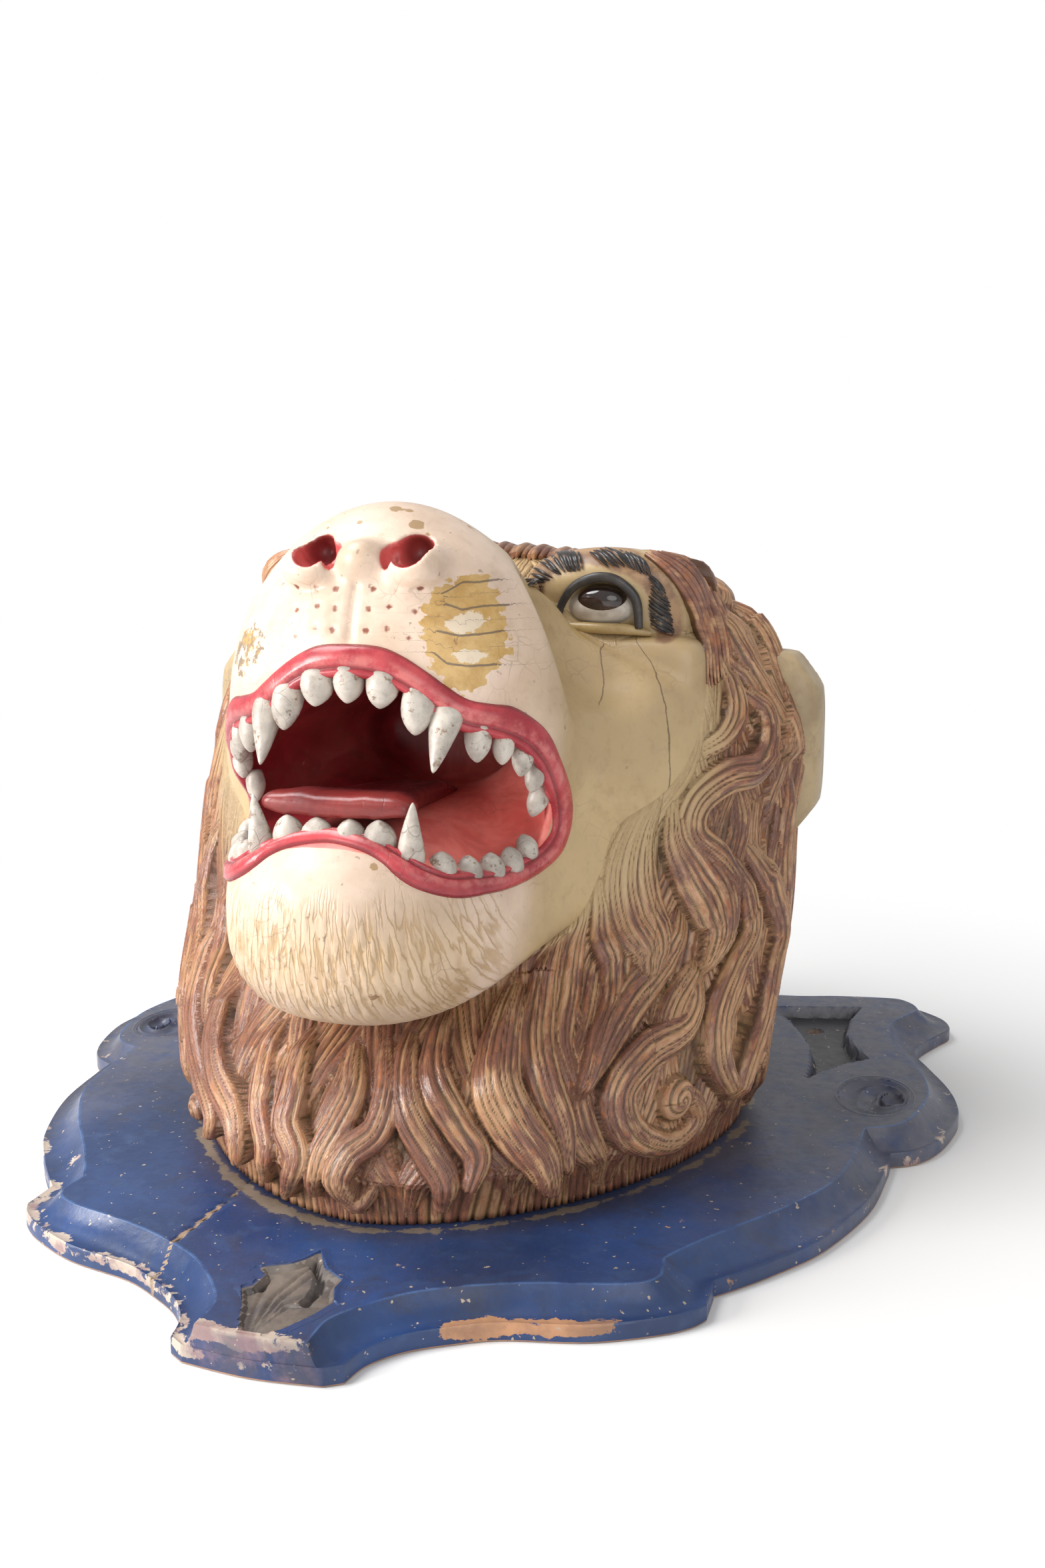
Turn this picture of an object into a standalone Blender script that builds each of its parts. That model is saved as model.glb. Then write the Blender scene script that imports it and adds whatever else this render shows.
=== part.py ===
"""Lion wall mask: a carved and painted lion's head on a scrolled backboard.

The board lies with its flat back on z = 0, +Z points out of the wall and +Y to the top of the board.
The head stands on the board and looks along -Y, with its nose raised.
"""

import math

import bmesh
import bpy
import numpy as np

MM = 0.001
GAP = 0.3

# Backboard, in millimetres
BOARD_FRONT = 19.0
BOARD_EDGE = 8.5
COVE_SAG = 2.6
RECESS_DEPTH = 8.0
VOLUTE_CENTRE = (240.0, 86.0)
VOLUTE_REACH = (22.0, 30.0)
VOLUTE_TURNS = 1.6
VOLUTE_GROOVE = 3.0
VOLUTE_STEPS = 10
BOSS_RADIUS = 197.0
BOSS_CENTRE_Y = 120.0
BOSS_SIDES = 64
SCREW_HOLE = (190.0, 217.0)
SCREW_HOLE_RADIUS = 4.0
SCREW_HOLE_SIDES = 8
LEAF_HEIGHT = 3.0
LEAF_SINK = 1.0
OUTLINE_STEPS = 2

# Right half of the board: outer edge and top of the cove, from the foot of the tab to the crown.
# The last value says whether the outline turns sharply there.
BOARD_HALF = (
    ((0, -270), (0, -262), 0),
    ((33, -267), (25, -260), 0),
    ((41, -262), (31, -256), 1),
    ((45, -247), (33, -246), 0),
    ((56, -233), (43, -234), 0),
    ((72, -222), (54, -219), 0),
    ((94, -211), (74, -203), 0),
    ((131, -202), (104, -191), 0),
    ((159, -188), (138, -182), 0),
    ((173, -177), (153, -175), 0),
    ((179, -168), (158, -167), 1),
    ((179, -146), (156, -151), 1),
    ((190, -134), (166, -134), 0),
    ((203, -118), (180, -114), 0),
    ((224, -87), (205, -80), 0),
    ((243, -38), (226, -41), 0),
    ((250, 8), (234, 5), 0),
    ((251, 25), (236, 34), 1),
    ((266, 35), (252, 42), 0),
    ((278, 56), (262, 60), 0),
    ((287, 91), (269, 93), 0),
    ((286, 116), (267, 120), 0),
    ((280, 141), (259, 148), 0),
    ((268, 172), (247, 178), 0),
    ((259, 196), (240, 206), 0),
    ((262, 216), (242, 228), 0),
    ((272, 239), (250, 246), 0),
    ((280, 257), (257, 260), 0),
    ((277, 273), (255, 271), 0),
    ((267, 286), (249, 279), 0),
    ((253, 296), (242, 283), 0),
    ((229, 300), (227, 282), 0),
    ((200, 295), (198, 277), 0),
    ((163, 286), (162, 268), 0),
    ((80, 281), (80, 263), 0),
    ((0, 280), (0, 262), 0),
)

# Sunk panel beside the head, of which the boss covers the inner corner.
RECESS_EDGE = (
    (150, 237), (217, 254), (212, 224), (212, 192), (219, 170), (229, 150), (215, 137), (202, 118), (188, 92), (110, 110),
)

# Leaf carved on the tab: one side, tip to stalk.
LEAF_HALF = ((0, -190), (6, -206), (18, -212), (17, -226), (28, -236), (19, -250), (6, -262))

# Mane: height, half width, half depth and centre y of each level's outline, and how square each is.
MANE_LEVELS = (
    (-20, 166, 194, 30),
    (19, 167, 196, 30),
    (32, 171, 198, 30),
    (48, 178, 202, 29),
    (90, 183, 190, 38),
    (130, 187, 160, 53),
    (180, 187, 152, 72),
    (230, 189, 140, 90),
    (265, 181, 124, 95),
    (300, 171, 112, 100),
    (322, 153, 96, 100),
    (338, 128, 74, 100),
    (345, 100, 56, 98),
    (350, 40, 26, 92),
)
MANE_POWERS = (1.72, 1.72, 1.76, 1.80, 1.90, 2.0, 2.1, 2.2, 2.3, 2.3, 2.3, 2.3, 2.2, 2.0)
MANE_TOP = 350.0
MANE_OFFSET_X = 3.0
MANE_BASE_INSET = 5.0
MANE_BLEND = 4.0

# Waved locks of the mane, which die away at the foot and the crown.
LOCKS_AROUND = 26
LOCK_RELIEF = 10.0
LOCK_SWAY = 0.45
LOCK_WAVE = 130.0
LOCK_CENTRE_Y = 60.0
LOCK_FADE_HEIGHTS = (20.0, 34.0, 50.0, 300.0, 345.0)
LOCK_FADE_SHARES = (0.1, 0.15, 1.0, 1.0, 0.4)

# Rounded blocks of the face: centre and half size. Each is blended into the form before it over its BLEND.
MUZZLE = ((0, -87, 262), (86, 65, 109))
SNOUT = ((0, -40, 258), (84, 82, 80))
CHEEK = ((0, 60, 199), (152, 125, 101))
JAW = ((0, -91, 170), (77, 106, 61))
JAW_BACK = ((0, 15, 162), (118, 125, 62))
SKULL = ((0, 104, 238), (142, 98, 110))
BROW = ((84, 24, 329), (42, 20, 17))
EYE = ((80, 24, 313), (22, 20, 16))
NOSE_WING = ((25, -124, 340), (15, 16, 10))
EAR = ((160, 112, 228), (38, 26, 57))
SNOUT_BLEND = 26.0
CHEEK_BLEND = 24.0
JAW_BACK_BLEND = 20.0
JAW_BLEND = 14.0
SKULL_BLEND = 10.0
BROW_BLEND = 12.0
EYE_BLEND = 4.0
WING_BLEND = 5.0
ROUND_POWERS = (2, 2, 2)
SNOUT_POWERS = (2.5, 2.5, 2.5)
CHEEK_POWERS = (2.6, 2.6, 5)
JAW_POWERS = (2.2, 2.2, 2.7)
JAW_BACK_POWERS = (2.2, 2.2, 2.4)
SQUARE_POWERS = (3, 3, 3)

HEAD_CENTRE = (0.0, 30.0, 165.0)
HEAD_REACH = 420.0
HEAD_DETAIL = 5

# Lips: middle line of the painted roll, right half, from the middle of the upper lip to that of the lower.
LIP_LINE = (
    (0, -149, 295), (14, -148, 295), (27, -147, 290), (40, -144, 280), (54, -138, 270), (67, -129, 266),
    (79, -115, 258), (85, -102, 245), (87, -88, 228), (85, -79, 210), (80, -98, 195), (72, -128, 191),
    (62, -153, 192), (50, -168, 197), (36, -174, 205), (20, -174, 212), (0, -173, 215),
)
LIP_RADIUS = 7.2

# Mouth opening inside the lips, right half, as x and z.
MOUTH_EDGE = (
    (0, 289), (16, 288), (28, 282), (42, 270), (56, 262), (70, 257), (80, 246), (84, 230), (83, 212),
    (79, 200), (70, 196), (58, 198), (46, 204), (32, 212), (16, 216), (0, 217),
)

# Depth of each ring of the cavity, how far it has turned into the round throat, and the size of that round.
MOUTH_DEPTHS = (-240.0, -102.0, -62.0, -20.0, 14.0)
MOUTH_ROUNDING = (0.0, 0.0, 0.5, 1.0, 1.0)
THROAT_SHARES = (1.0, 1.0, 1.0, 1.0, 0.5)
MOUTH_THROAT = (41.0, 244.0, 25.0)

NOSTRIL = (23.0, -121.0, 350.0)
NOSTRIL_SIZE = (7.5, 15.0, 6.5)

# Teeth: base point, tip point, base radius; right half, the middle one first.
UPPER_TEETH = (
    ("upper_incisor_middle", (0, -143, 292), (0, -147, 272), 6.2),
    ("upper_incisor_inner", (14, -143, 291), (14.5, -147, 271), 6.2),
    ("upper_incisor_outer", (28.5, -141, 286), (29, -146, 260), 6.4),
    ("upper_canine", (43.5, -137, 275), (42, -148, 243), 6.2),
    ("upper_premolar_1", (56.5, -131, 267), (57, -132, 247), 5.2),
    ("upper_premolar_2", (67, -122, 262), (67, -123, 243), 4.6),
    ("upper_premolar_3", (75, -111.5, 254), (73, -114, 237), 4.2),
    ("upper_molar_1", (79, -103, 243), (76, -106, 228), 4.2),
    ("upper_molar_2", (76, -95, 229), (72, -98, 216), 4.0),
)
LOWER_TEETH = (
    ("lower_incisor_inner", (7.5, -167, 211), (7.5, -167, 225), 5.6),
    ("lower_incisor_outer", (21.5, -167, 209), (22, -168, 225), 5.8),
    ("lower_canine", (36, -166, 203), (39.5, -167, 232), 6.2),
    ("lower_premolar_1", (49, -158, 196), (49, -157, 212), 5.2),
    ("lower_premolar_2", (59, -147, 192), (58, -146, 208), 4.8),
    ("lower_premolar_3", (67, -134, 191), (65, -133, 206), 4.8),
    ("lower_molar_1", (72, -120, 192), (69, -120, 206), 4.6),
    ("lower_molar_2", (75.5, -106, 195), (72, -107, 208), 4.4),
)
TOOTH_SIDES = 6
TOOTH_RINGS = ((0.0, 0.82), (0.3, 1.0), (0.68, 0.68))

# Tongue: y, z of its middle line, half width and half thickness, front to root.
TONGUE_LINE = (
    (-163, 231, 33, 4.0),
    (-156, 230, 36, 5.5),
    (-130, 227, 38, 6.5),
    (-90, 222, 36, 7.0),
    (-50, 217, 31, 8.0),
    (-12, 203, 25, 8.0),
)
TONGUE_SIDES = 12


# Start from an empty scene

for old in list(bpy.data.objects):
    bpy.data.objects.remove(old, do_unlink=True)

part_set = bpy.data.collections.new("lion_wall_mask")
bpy.context.scene.collection.children.link(part_set)
cutter_set = bpy.data.collections.new("cutters")
cutter_set.hide_render = True
bpy.context.scene.collection.children.link(cutter_set)


def paint(name, colour, roughness):
    material = bpy.data.materials.new(name)
    material.use_nodes = True
    shader = material.node_tree.nodes["Principled BSDF"]
    shader.inputs["Base Color"].default_value = (*colour, 1.0)
    shader.inputs["Roughness"].default_value = roughness
    return material


BLUE = paint("blue_painted_wood", (0.025, 0.06, 0.22), 0.4)
TAN = paint("painted_carved_wood", (0.48, 0.34, 0.2), 0.45)
RED = paint("red_painted_wood", (0.42, 0.04, 0.05), 0.4)
IVORY = paint("tooth_white", (0.62, 0.59, 0.54), 0.45)


def add_object(name, points, faces, material, cutter=False):
    """A mesh object from points in millimetres, with its normals turned outward."""
    mesh = bpy.data.meshes.new(name)
    mesh.from_pydata([tuple(float(v) * MM for v in p) for p in points], [], faces)
    mesh.materials.append(material)
    shell = bmesh.new()
    shell.from_mesh(mesh)
    bmesh.ops.recalc_face_normals(shell, faces=shell.faces)
    shell.to_mesh(mesh)
    shell.free()
    item = bpy.data.objects.new(name, mesh)
    (cutter_set if cutter else part_set).objects.link(item)
    if cutter:
        item.hide_render = True
        item.display_type = "WIRE"
    return item


def loft(rings):
    """Points and faces of a closed solid through rings of equal count, with both ends filled."""
    count = len(rings[0])
    points = [p for ring in rings for p in ring]
    faces = []
    for level in range(len(rings) - 1):
        for i in range(count):
            j = (i + 1) % count
            low, high = level * count, (level + 1) * count
            faces.append((low + i, low + j, high + j))
            faces.append((low + i, high + j, high + i))
    faces.append(tuple(range(count))[::-1])
    faces.append(tuple(range((len(rings) - 1) * count, len(rings) * count)))
    return points, faces


def boolean(target, other, operation):
    modifier = target.modifiers.new(operation.lower() + "_" + other.name, "BOOLEAN")
    modifier.operation = operation
    modifier.solver = "EXACT"
    modifier.object = other


def mirror_half(half):
    """The whole closed loop from its right half, whose first and last points lie on the middle line."""
    return list(half) + [(-p[0], *p[1:]) for p in half[-2:0:-1]]


def curve_between(a, b, c, d, t):
    """Point at share t between b and c of a smooth curve through a, b, c and d."""
    a, b, c, d = (np.array(v, float) for v in (a, b, c, d))
    return 0.5 * (2 * b + (c - a) * t + (2 * a - 5 * b + 4 * c - d) * t**2 + (3 * b - a - 3 * c + d) * t**3)


# Backboard


def board_rings():
    """Outer edge and cove top as whole loops, smooth between the sharp turns."""
    outer = [h[0] for h in BOARD_HALF]
    inner = [h[1] for h in BOARD_HALF]
    sharp = [h[2] for h in BOARD_HALF]
    whole_outer = mirror_half(outer)
    whole_inner = mirror_half(inner)
    whole_sharp = sharp + sharp[-2:0:-1]
    count = len(whole_outer)
    edges, coves = [], []
    for i in range(count):
        before = i if whole_sharp[i] else i - 1
        after = (i + 1) % count if whole_sharp[(i + 1) % count] else (i + 2) % count
        for k in range(OUTLINE_STEPS):
            t = k / OUTLINE_STEPS
            for loop, line in ((edges, whole_outer), (coves, whole_inner)):
                loop.append(curve_between(line[before], line[i], line[(i + 1) % count], line[after], t))
    return edges, coves


def board_solid():
    edges, coves = board_rings()
    middle = [(a * 0.48 + b * 0.52) for a, b in zip(edges, coves)]
    middle_height = (BOARD_EDGE + BOARD_FRONT) / 2 - COVE_SAG
    levels = (
        [(*p, 0.0) for p in edges],
        [(*p, BOARD_EDGE) for p in edges],
        [(*p, middle_height) for p in middle],
        [(*p, BOARD_FRONT) for p in coves],
    )
    return loft(levels)


def prism(outline, low, high):
    return loft(([(x, y, low) for x, y in outline], [(x, y, high) for x, y in outline]))


def circle(centre_x, centre_y, radius, sides):
    turns = [2 * math.pi * k / sides for k in range(sides)]
    return [(centre_x + radius * math.cos(turn), centre_y + radius * math.sin(turn)) for turn in turns]


def volute_groove(side, name):
    """A groove of round section that winds in to the eye of the scroll."""
    steps = int(VOLUTE_STEPS * VOLUTE_TURNS)
    rings = []
    for i in range(steps + 1):
        share = i / steps
        angle = math.radians(-100) + share * VOLUTE_TURNS * 2 * math.pi
        reach = 1.0 - 0.72 * share
        centre = np.array([VOLUTE_REACH[0] * reach * math.cos(angle), VOLUTE_REACH[1] * reach * math.sin(angle)])
        out = np.array([math.cos(angle), math.sin(angle)])
        ring = []
        for k in range(6):
            turn = 2 * math.pi * k / 6
            p = centre + out * VOLUTE_GROOVE * math.cos(turn)
            height = BOARD_FRONT + VOLUTE_GROOVE * 1.2 * math.sin(turn)
            ring.append((side * (VOLUTE_CENTRE[0] + p[0]), VOLUTE_CENTRE[1] + p[1], height))
        rings.append(ring)
    return add_object(name, *loft(rings), BLUE, cutter=True)


backboard = add_object("backboard", *board_solid(), BLUE)
boss_outline = circle(0, BOSS_CENTRE_Y, BOSS_RADIUS, BOSS_SIDES)
boss = prism(boss_outline, BOARD_FRONT - 2 * RECESS_DEPTH, BOARD_FRONT + 2 * RECESS_DEPTH)
boss_keeper = add_object("boss_keeper", *boss, BLUE, cutter=True)
for side, label in ((1, "left"), (-1, "right")):
    panel = [(side * x, y) for x, y in RECESS_EDGE]
    panel_solid = prism(panel, BOARD_FRONT - RECESS_DEPTH, BOARD_FRONT + RECESS_DEPTH)
    recess = add_object("recess_" + label, *panel_solid, BLUE, cutter=True)
    boolean(recess, boss_keeper, "DIFFERENCE")
    boolean(backboard, recess, "DIFFERENCE")
    boolean(backboard, volute_groove(side, "volute_" + label), "DIFFERENCE")
    hole = circle(side * SCREW_HOLE[0], SCREW_HOLE[1], SCREW_HOLE_RADIUS, SCREW_HOLE_SIDES)
    drilled = prism(hole, -BOARD_FRONT, 2 * BOARD_FRONT)
    boolean(backboard, add_object("screw_hole_" + label, *drilled, BLUE, cutter=True), "DIFFERENCE")
leaf_outline = mirror_half(LEAF_HALF)
leaf = add_object("leaf", *prism(leaf_outline, BOARD_FRONT - LEAF_SINK, BOARD_FRONT + LEAF_HEIGHT), BLUE, cutter=True)
boolean(backboard, leaf, "UNION")


# Lion's head: one form blended from rounded blocks, taken as distances in millimetres


def rounded_block(points, centre, reach, powers):
    """Rough distance from a block whose faces bulge; higher powers make it squarer."""
    powers = np.array(powers, float)
    share = np.abs((points - np.array(centre)) / np.array(reach))
    level = (share**powers).sum(-1) ** (1.0 / powers.min())
    return (level - 1) * min(reach) * 0.9


def blend(a, b, width):
    share = np.clip(0.5 + 0.5 * (b - a) / width, 0, 1)
    return b * (1 - share) + a * share - width * share * (1 - share)


def face_form(points):
    mirrored = points.copy()
    mirrored[..., 0] = np.abs(mirrored[..., 0])
    form = rounded_block(points, *MUZZLE, ROUND_POWERS)
    form = blend(form, rounded_block(points, *SNOUT, SNOUT_POWERS), SNOUT_BLEND)
    form = blend(form, rounded_block(points, *CHEEK, CHEEK_POWERS), CHEEK_BLEND)
    jaw = rounded_block(points, *JAW, JAW_POWERS)
    jaw = blend(jaw, rounded_block(points, *JAW_BACK, JAW_BACK_POWERS), JAW_BACK_BLEND)
    form = blend(form, jaw, JAW_BLEND)
    form = blend(form, rounded_block(points, *SKULL, SQUARE_POWERS), SKULL_BLEND)
    form = blend(form, rounded_block(mirrored, *BROW, ROUND_POWERS), BROW_BLEND)
    form = blend(form, rounded_block(mirrored, *EYE, ROUND_POWERS), EYE_BLEND)
    return blend(form, rounded_block(mirrored, *NOSE_WING, ROUND_POWERS), WING_BLEND)


def lock_relief(points):
    """Height of the waved locks at each point: crests run down the mane and sway from side to side."""
    x = points[..., 0]
    y = points[..., 1] - LOCK_CENTRE_Y
    z = points[..., 2]
    around = np.arctan2(x, -y)
    sway = LOCK_SWAY * np.sin(2 * math.pi * z / LOCK_WAVE + 1.7 * around)
    crest = 0.5 + 0.5 * np.cos(LOCKS_AROUND * around + 2 * math.pi * sway)
    fade = np.interp(z, LOCK_FADE_HEIGHTS, LOCK_FADE_SHARES)
    return LOCK_RELIEF * fade * crest**0.7


def mane_form(points):
    z = points[..., 2]
    heights, *sizes = np.array(MANE_LEVELS, float).T
    half_width, half_depth, centre_y = (np.interp(z, heights, size) for size in sizes)
    power = np.interp(z, heights, MANE_POWERS)
    x_share = np.abs((points[..., 0] - MANE_OFFSET_X) / half_width)
    y_share = np.abs((points[..., 1] - centre_y) / half_depth)
    distance = ((x_share**power + y_share**power) ** (1 / power) - 1) * np.minimum(half_width, half_depth)
    distance = distance + MANE_BASE_INSET - lock_relief(points)
    return np.maximum(distance, z - MANE_TOP)


def head_form(points):
    mirrored = points.copy()
    mirrored[..., 0] = np.abs(mirrored[..., 0])
    ear = rounded_block(mirrored, *EAR, SQUARE_POWERS)
    return np.minimum(blend(face_form(points), mane_form(points), MANE_BLEND), ear)


def outermost(form, centre, directions):
    """Where rays from the centre leave the form for the last time."""
    inside = np.zeros(len(directions), bool)
    reach = np.full(len(directions), HEAD_REACH)
    step = HEAD_REACH / 100
    for distance in np.arange(HEAD_REACH, 0, -step):
        values = form(centre + directions * distance)
        first = (values < 0) & ~inside
        reach[first] = distance
        inside |= first
    low, high = reach.copy(), reach + step
    for _ in range(14):
        middle = (low + high) / 2
        within = form(centre + directions * middle[:, None]) < 0
        low = np.where(within, middle, low)
        high = np.where(within, high, middle)
    return centre + directions * low[:, None]


def head_solid():
    ball = bmesh.new()
    bmesh.ops.create_icosphere(ball, subdivisions=HEAD_DETAIL, radius=1.0)
    directions = np.array([v.co for v in ball.verts], float)
    directions /= np.linalg.norm(directions, axis=1, keepdims=True)
    faces = [tuple(v.index for v in f.verts) for f in ball.faces]
    ball.free()
    return outermost(head_form, np.array(HEAD_CENTRE), directions), faces


def tube_ring(points, radius, sides):
    """A closed tube round a closed line."""
    count = len(points)
    line = [np.array(p, float) for p in points]
    rings = []
    for i in range(count):
        along = line[(i + 1) % count] - line[i - 1]
        along /= np.linalg.norm(along)
        side = np.cross(along, (0.0, 1.0, 0.0))
        side /= np.linalg.norm(side)
        front = np.cross(side, along)
        ring = []
        for k in range(sides):
            turn = 2 * math.pi * k / sides
            ring.append(line[i] + radius * (side * math.cos(turn) + front * math.sin(turn)))
        rings.append(ring)
    faces = []
    for i in range(count):
        n = (i + 1) % count
        for k in range(sides):
            m = (k + 1) % sides
            faces.append((i * sides + k, i * sides + m, n * sides + m))
            faces.append((i * sides + k, n * sides + m, n * sides + k))
    return [p for ring in rings for p in ring], faces


def mouth_solid():
    """The cavity: the opening carried back into the head and drawn in to the throat."""
    edge = mirror_half(MOUTH_EDGE)
    rings = []
    for y, throat, size in zip(MOUTH_DEPTHS, MOUTH_ROUNDING, THROAT_SHARES):
        ring = []
        for x, z in edge:
            angle = math.atan2((z - MOUTH_THROAT[1]) / MOUTH_THROAT[2], x / MOUTH_THROAT[0])
            round_x = MOUTH_THROAT[0] * math.cos(angle) * size
            round_z = MOUTH_THROAT[1] + MOUTH_THROAT[2] * math.sin(angle) * size
            ring.append((x * (1 - throat) + round_x * throat, y, z * (1 - throat) + round_z * throat))
        rings.append(ring)
    return loft(rings)


def tooth_solid(base, tip, radius, grow=0.0):
    """A peg with a rounded base, widest at the gum, that tapers to a blunt tip."""
    base = np.array(base, float)
    tip = np.array(tip, float)
    axis = (tip - base) / np.linalg.norm(tip - base)
    base = base - axis * grow
    tip = tip + axis * grow
    side = np.cross(axis, (0.0, 1.0, 0.0))
    side /= np.linalg.norm(side)
    front = np.cross(side, axis)
    points = []
    for share, swell in TOOTH_RINGS:
        centre = base + (tip - base) * share
        for k in range(TOOTH_SIDES):
            turn = 2 * math.pi * k / TOOTH_SIDES
            points.append(centre + (radius * swell + grow) * (side * math.cos(turn) + front * math.sin(turn)))
    points.append(tip)
    last = len(points) - 1
    faces = [tuple(range(TOOTH_SIDES))]
    for ring in range(len(TOOTH_RINGS) - 1):
        for k in range(TOOTH_SIDES):
            m = (k + 1) % TOOTH_SIDES
            low = ring * TOOTH_SIDES
            high = low + TOOTH_SIDES
            faces.append((low + k, low + m, high + m))
            faces.append((low + k, high + m, high + k))
    top = (len(TOOTH_RINGS) - 1) * TOOTH_SIDES
    for k in range(TOOTH_SIDES):
        faces.append((top + k, top + (k + 1) % TOOTH_SIDES, last))
    return points, faces


def tongue_solid(grow=0.0):
    rings = []
    for index, (y, z, half_width, half_thick) in enumerate(TONGUE_LINE):
        if index == 0:
            y -= grow
        if index == len(TONGUE_LINE) - 1:
            y += grow
        ring = []
        for k in range(TONGUE_SIDES):
            turn = 2 * math.pi * (k + 0.5) / TONGUE_SIDES
            cos, sin = math.cos(turn), math.sin(turn)
            x = (half_width + grow) * math.copysign(abs(cos) ** 0.6, cos)
            height = (half_thick + grow) * math.copysign(abs(sin) ** 0.8, sin)
            ring.append((x, y, z + height))
        rings.append(ring)
    return loft(rings)


lion_head = add_object("lion_head", *head_solid(), TAN)

square = [(-HEAD_REACH, -HEAD_REACH), (HEAD_REACH, -HEAD_REACH), (HEAD_REACH, HEAD_REACH), (-HEAD_REACH, HEAD_REACH)]
below = add_object("below_board_front", *prism(square, -HEAD_REACH, BOARD_FRONT + GAP), TAN, cutter=True)
boolean(lion_head, below, "DIFFERENCE")
lips = add_object("lips", *tube_ring(mirror_half(LIP_LINE), LIP_RADIUS, 7), RED, cutter=True)
boolean(lion_head, lips, "UNION")
boolean(lion_head, add_object("mouth", *mouth_solid(), RED, cutter=True), "DIFFERENCE")
for side, label in ((1, "left"), (-1, "right")):
    ball = bmesh.new()
    bmesh.ops.create_icosphere(ball, subdivisions=2, radius=1.0)
    points = [
        (
            side * NOSTRIL[0] + v.co.x * NOSTRIL_SIZE[0],
            NOSTRIL[1] + v.co.y * NOSTRIL_SIZE[1],
            NOSTRIL[2] + v.co.z * NOSTRIL_SIZE[2],
        )
        for v in ball.verts
    ]
    faces = [tuple(v.index for v in f.verts) for f in ball.faces]
    ball.free()
    boolean(lion_head, add_object("nostril_" + label, points, faces, RED, cutter=True), "DIFFERENCE")

# Teeth and tongue, each in a socket that clears it all round

socket_points, socket_faces = [], []


def add_socket(points, faces):
    start = len(socket_points)
    socket_points.extend(points)
    socket_faces.extend(tuple(i + start for i in f) for f in faces)


for name, base, tip, radius in UPPER_TEETH + LOWER_TEETH:
    sides = ((1, "_left"), (-1, "_right")) if base[0] else ((1, ""),)
    for side, label in sides:
        placed_base = (side * base[0], base[1], base[2])
        placed_tip = (side * tip[0], tip[1], tip[2])
        add_object(name + label, *tooth_solid(placed_base, placed_tip, radius), IVORY)
        add_socket(*tooth_solid(placed_base, placed_tip, radius, GAP))

tongue = add_object("tongue", *tongue_solid(), RED)
tongue_socket = add_object("tongue_socket", *tongue_solid(GAP), RED, cutter=True)
tooth_sockets = add_object("tooth_sockets", socket_points, socket_faces, RED, cutter=True)
boolean(lion_head, tongue_socket, "DIFFERENCE")
boolean(lion_head, tooth_sockets, "DIFFERENCE")
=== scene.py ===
# %% [markdown]
# # Lion wall mask
# A lion's head carved in wood, painted and varnished, stands on a blue scrolled board that hangs flat on a
# wall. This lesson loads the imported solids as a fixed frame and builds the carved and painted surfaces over
# them, one piece at a time. All sizes below are millimetres until they enter a mesh, which is in metres.

import math

import bmesh
import bpy
import numpy as np
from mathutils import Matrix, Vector


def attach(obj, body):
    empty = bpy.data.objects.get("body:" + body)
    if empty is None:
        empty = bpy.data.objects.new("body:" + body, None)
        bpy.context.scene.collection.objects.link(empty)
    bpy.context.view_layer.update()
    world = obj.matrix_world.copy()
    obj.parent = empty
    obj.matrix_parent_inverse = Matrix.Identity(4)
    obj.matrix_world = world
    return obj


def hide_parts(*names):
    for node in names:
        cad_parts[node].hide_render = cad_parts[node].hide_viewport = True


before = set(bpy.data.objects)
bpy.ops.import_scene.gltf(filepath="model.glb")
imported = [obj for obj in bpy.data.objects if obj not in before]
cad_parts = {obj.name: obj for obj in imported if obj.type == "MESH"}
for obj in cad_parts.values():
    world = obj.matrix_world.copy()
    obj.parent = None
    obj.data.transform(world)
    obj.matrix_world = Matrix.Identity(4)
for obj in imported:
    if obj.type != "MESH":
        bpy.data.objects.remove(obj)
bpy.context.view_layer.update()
MM = 0.001
rng = np.random.default_rng(11)
print("nodes loaded:", len(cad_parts))

# %% [markdown]
# Every piece goes through one helper. It makes a mesh at the origin from points in millimetres, stores any
# painted masks as point attributes, turns the faces outward and lets the piece ride on the one body.

# %% A helper that turns points and faces into a piece


def add_object(name, data):
    """A new object in the scene, made of the given data."""
    made = bpy.data.objects.new(name, data)
    bpy.context.scene.collection.objects.link(made)
    return made


def make_piece(name, points, faces, material, slot, attributes=None, recalc=True):
    mesh = bpy.data.meshes.new(name)
    mesh.from_pydata((np.asarray(points, float) * MM).tolist(), [], faces)
    mesh.validate()
    if recalc:
        shell = bmesh.new()
        shell.from_mesh(mesh)
        bmesh.ops.recalc_face_normals(shell, faces=shell.faces)
        shell.to_mesh(mesh)
        shell.free()
    for key, values in (attributes or {}).items():
        layer = mesh.attributes.new(key, "FLOAT", "POINT")
        layer.data.foreach_set("value", np.asarray(values, np.float32))
    mesh.polygons.foreach_set("use_smooth", [True] * len(mesh.polygons))
    mesh.materials.append(material)
    piece = add_object(name, mesh)
    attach(piece, "root")
    return piece


def triangle_count(piece):
    return sum(len(p.vertices) - 2 for p in piece.data.polygons)


print("one unit of the tables is", MM, "m")

# %% [markdown]
# Most shapes below start as a few measured points. A spline runs through them, rings of points along it are
# joined by quads, and a grid of quads loses the points that no face uses. Each of these is written once.

# %% Lines and faces that many pieces share


def spline(a, b, c, d, t):
    """The point at a share t of the way from b to c, on a smooth line through a, b, c and d."""
    return 0.5 * (2 * b + (c - a) * t + (2 * a - 5 * b + 4 * c - d) * t**2 + (3 * b - a - 3 * c + d) * t**3)


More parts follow.
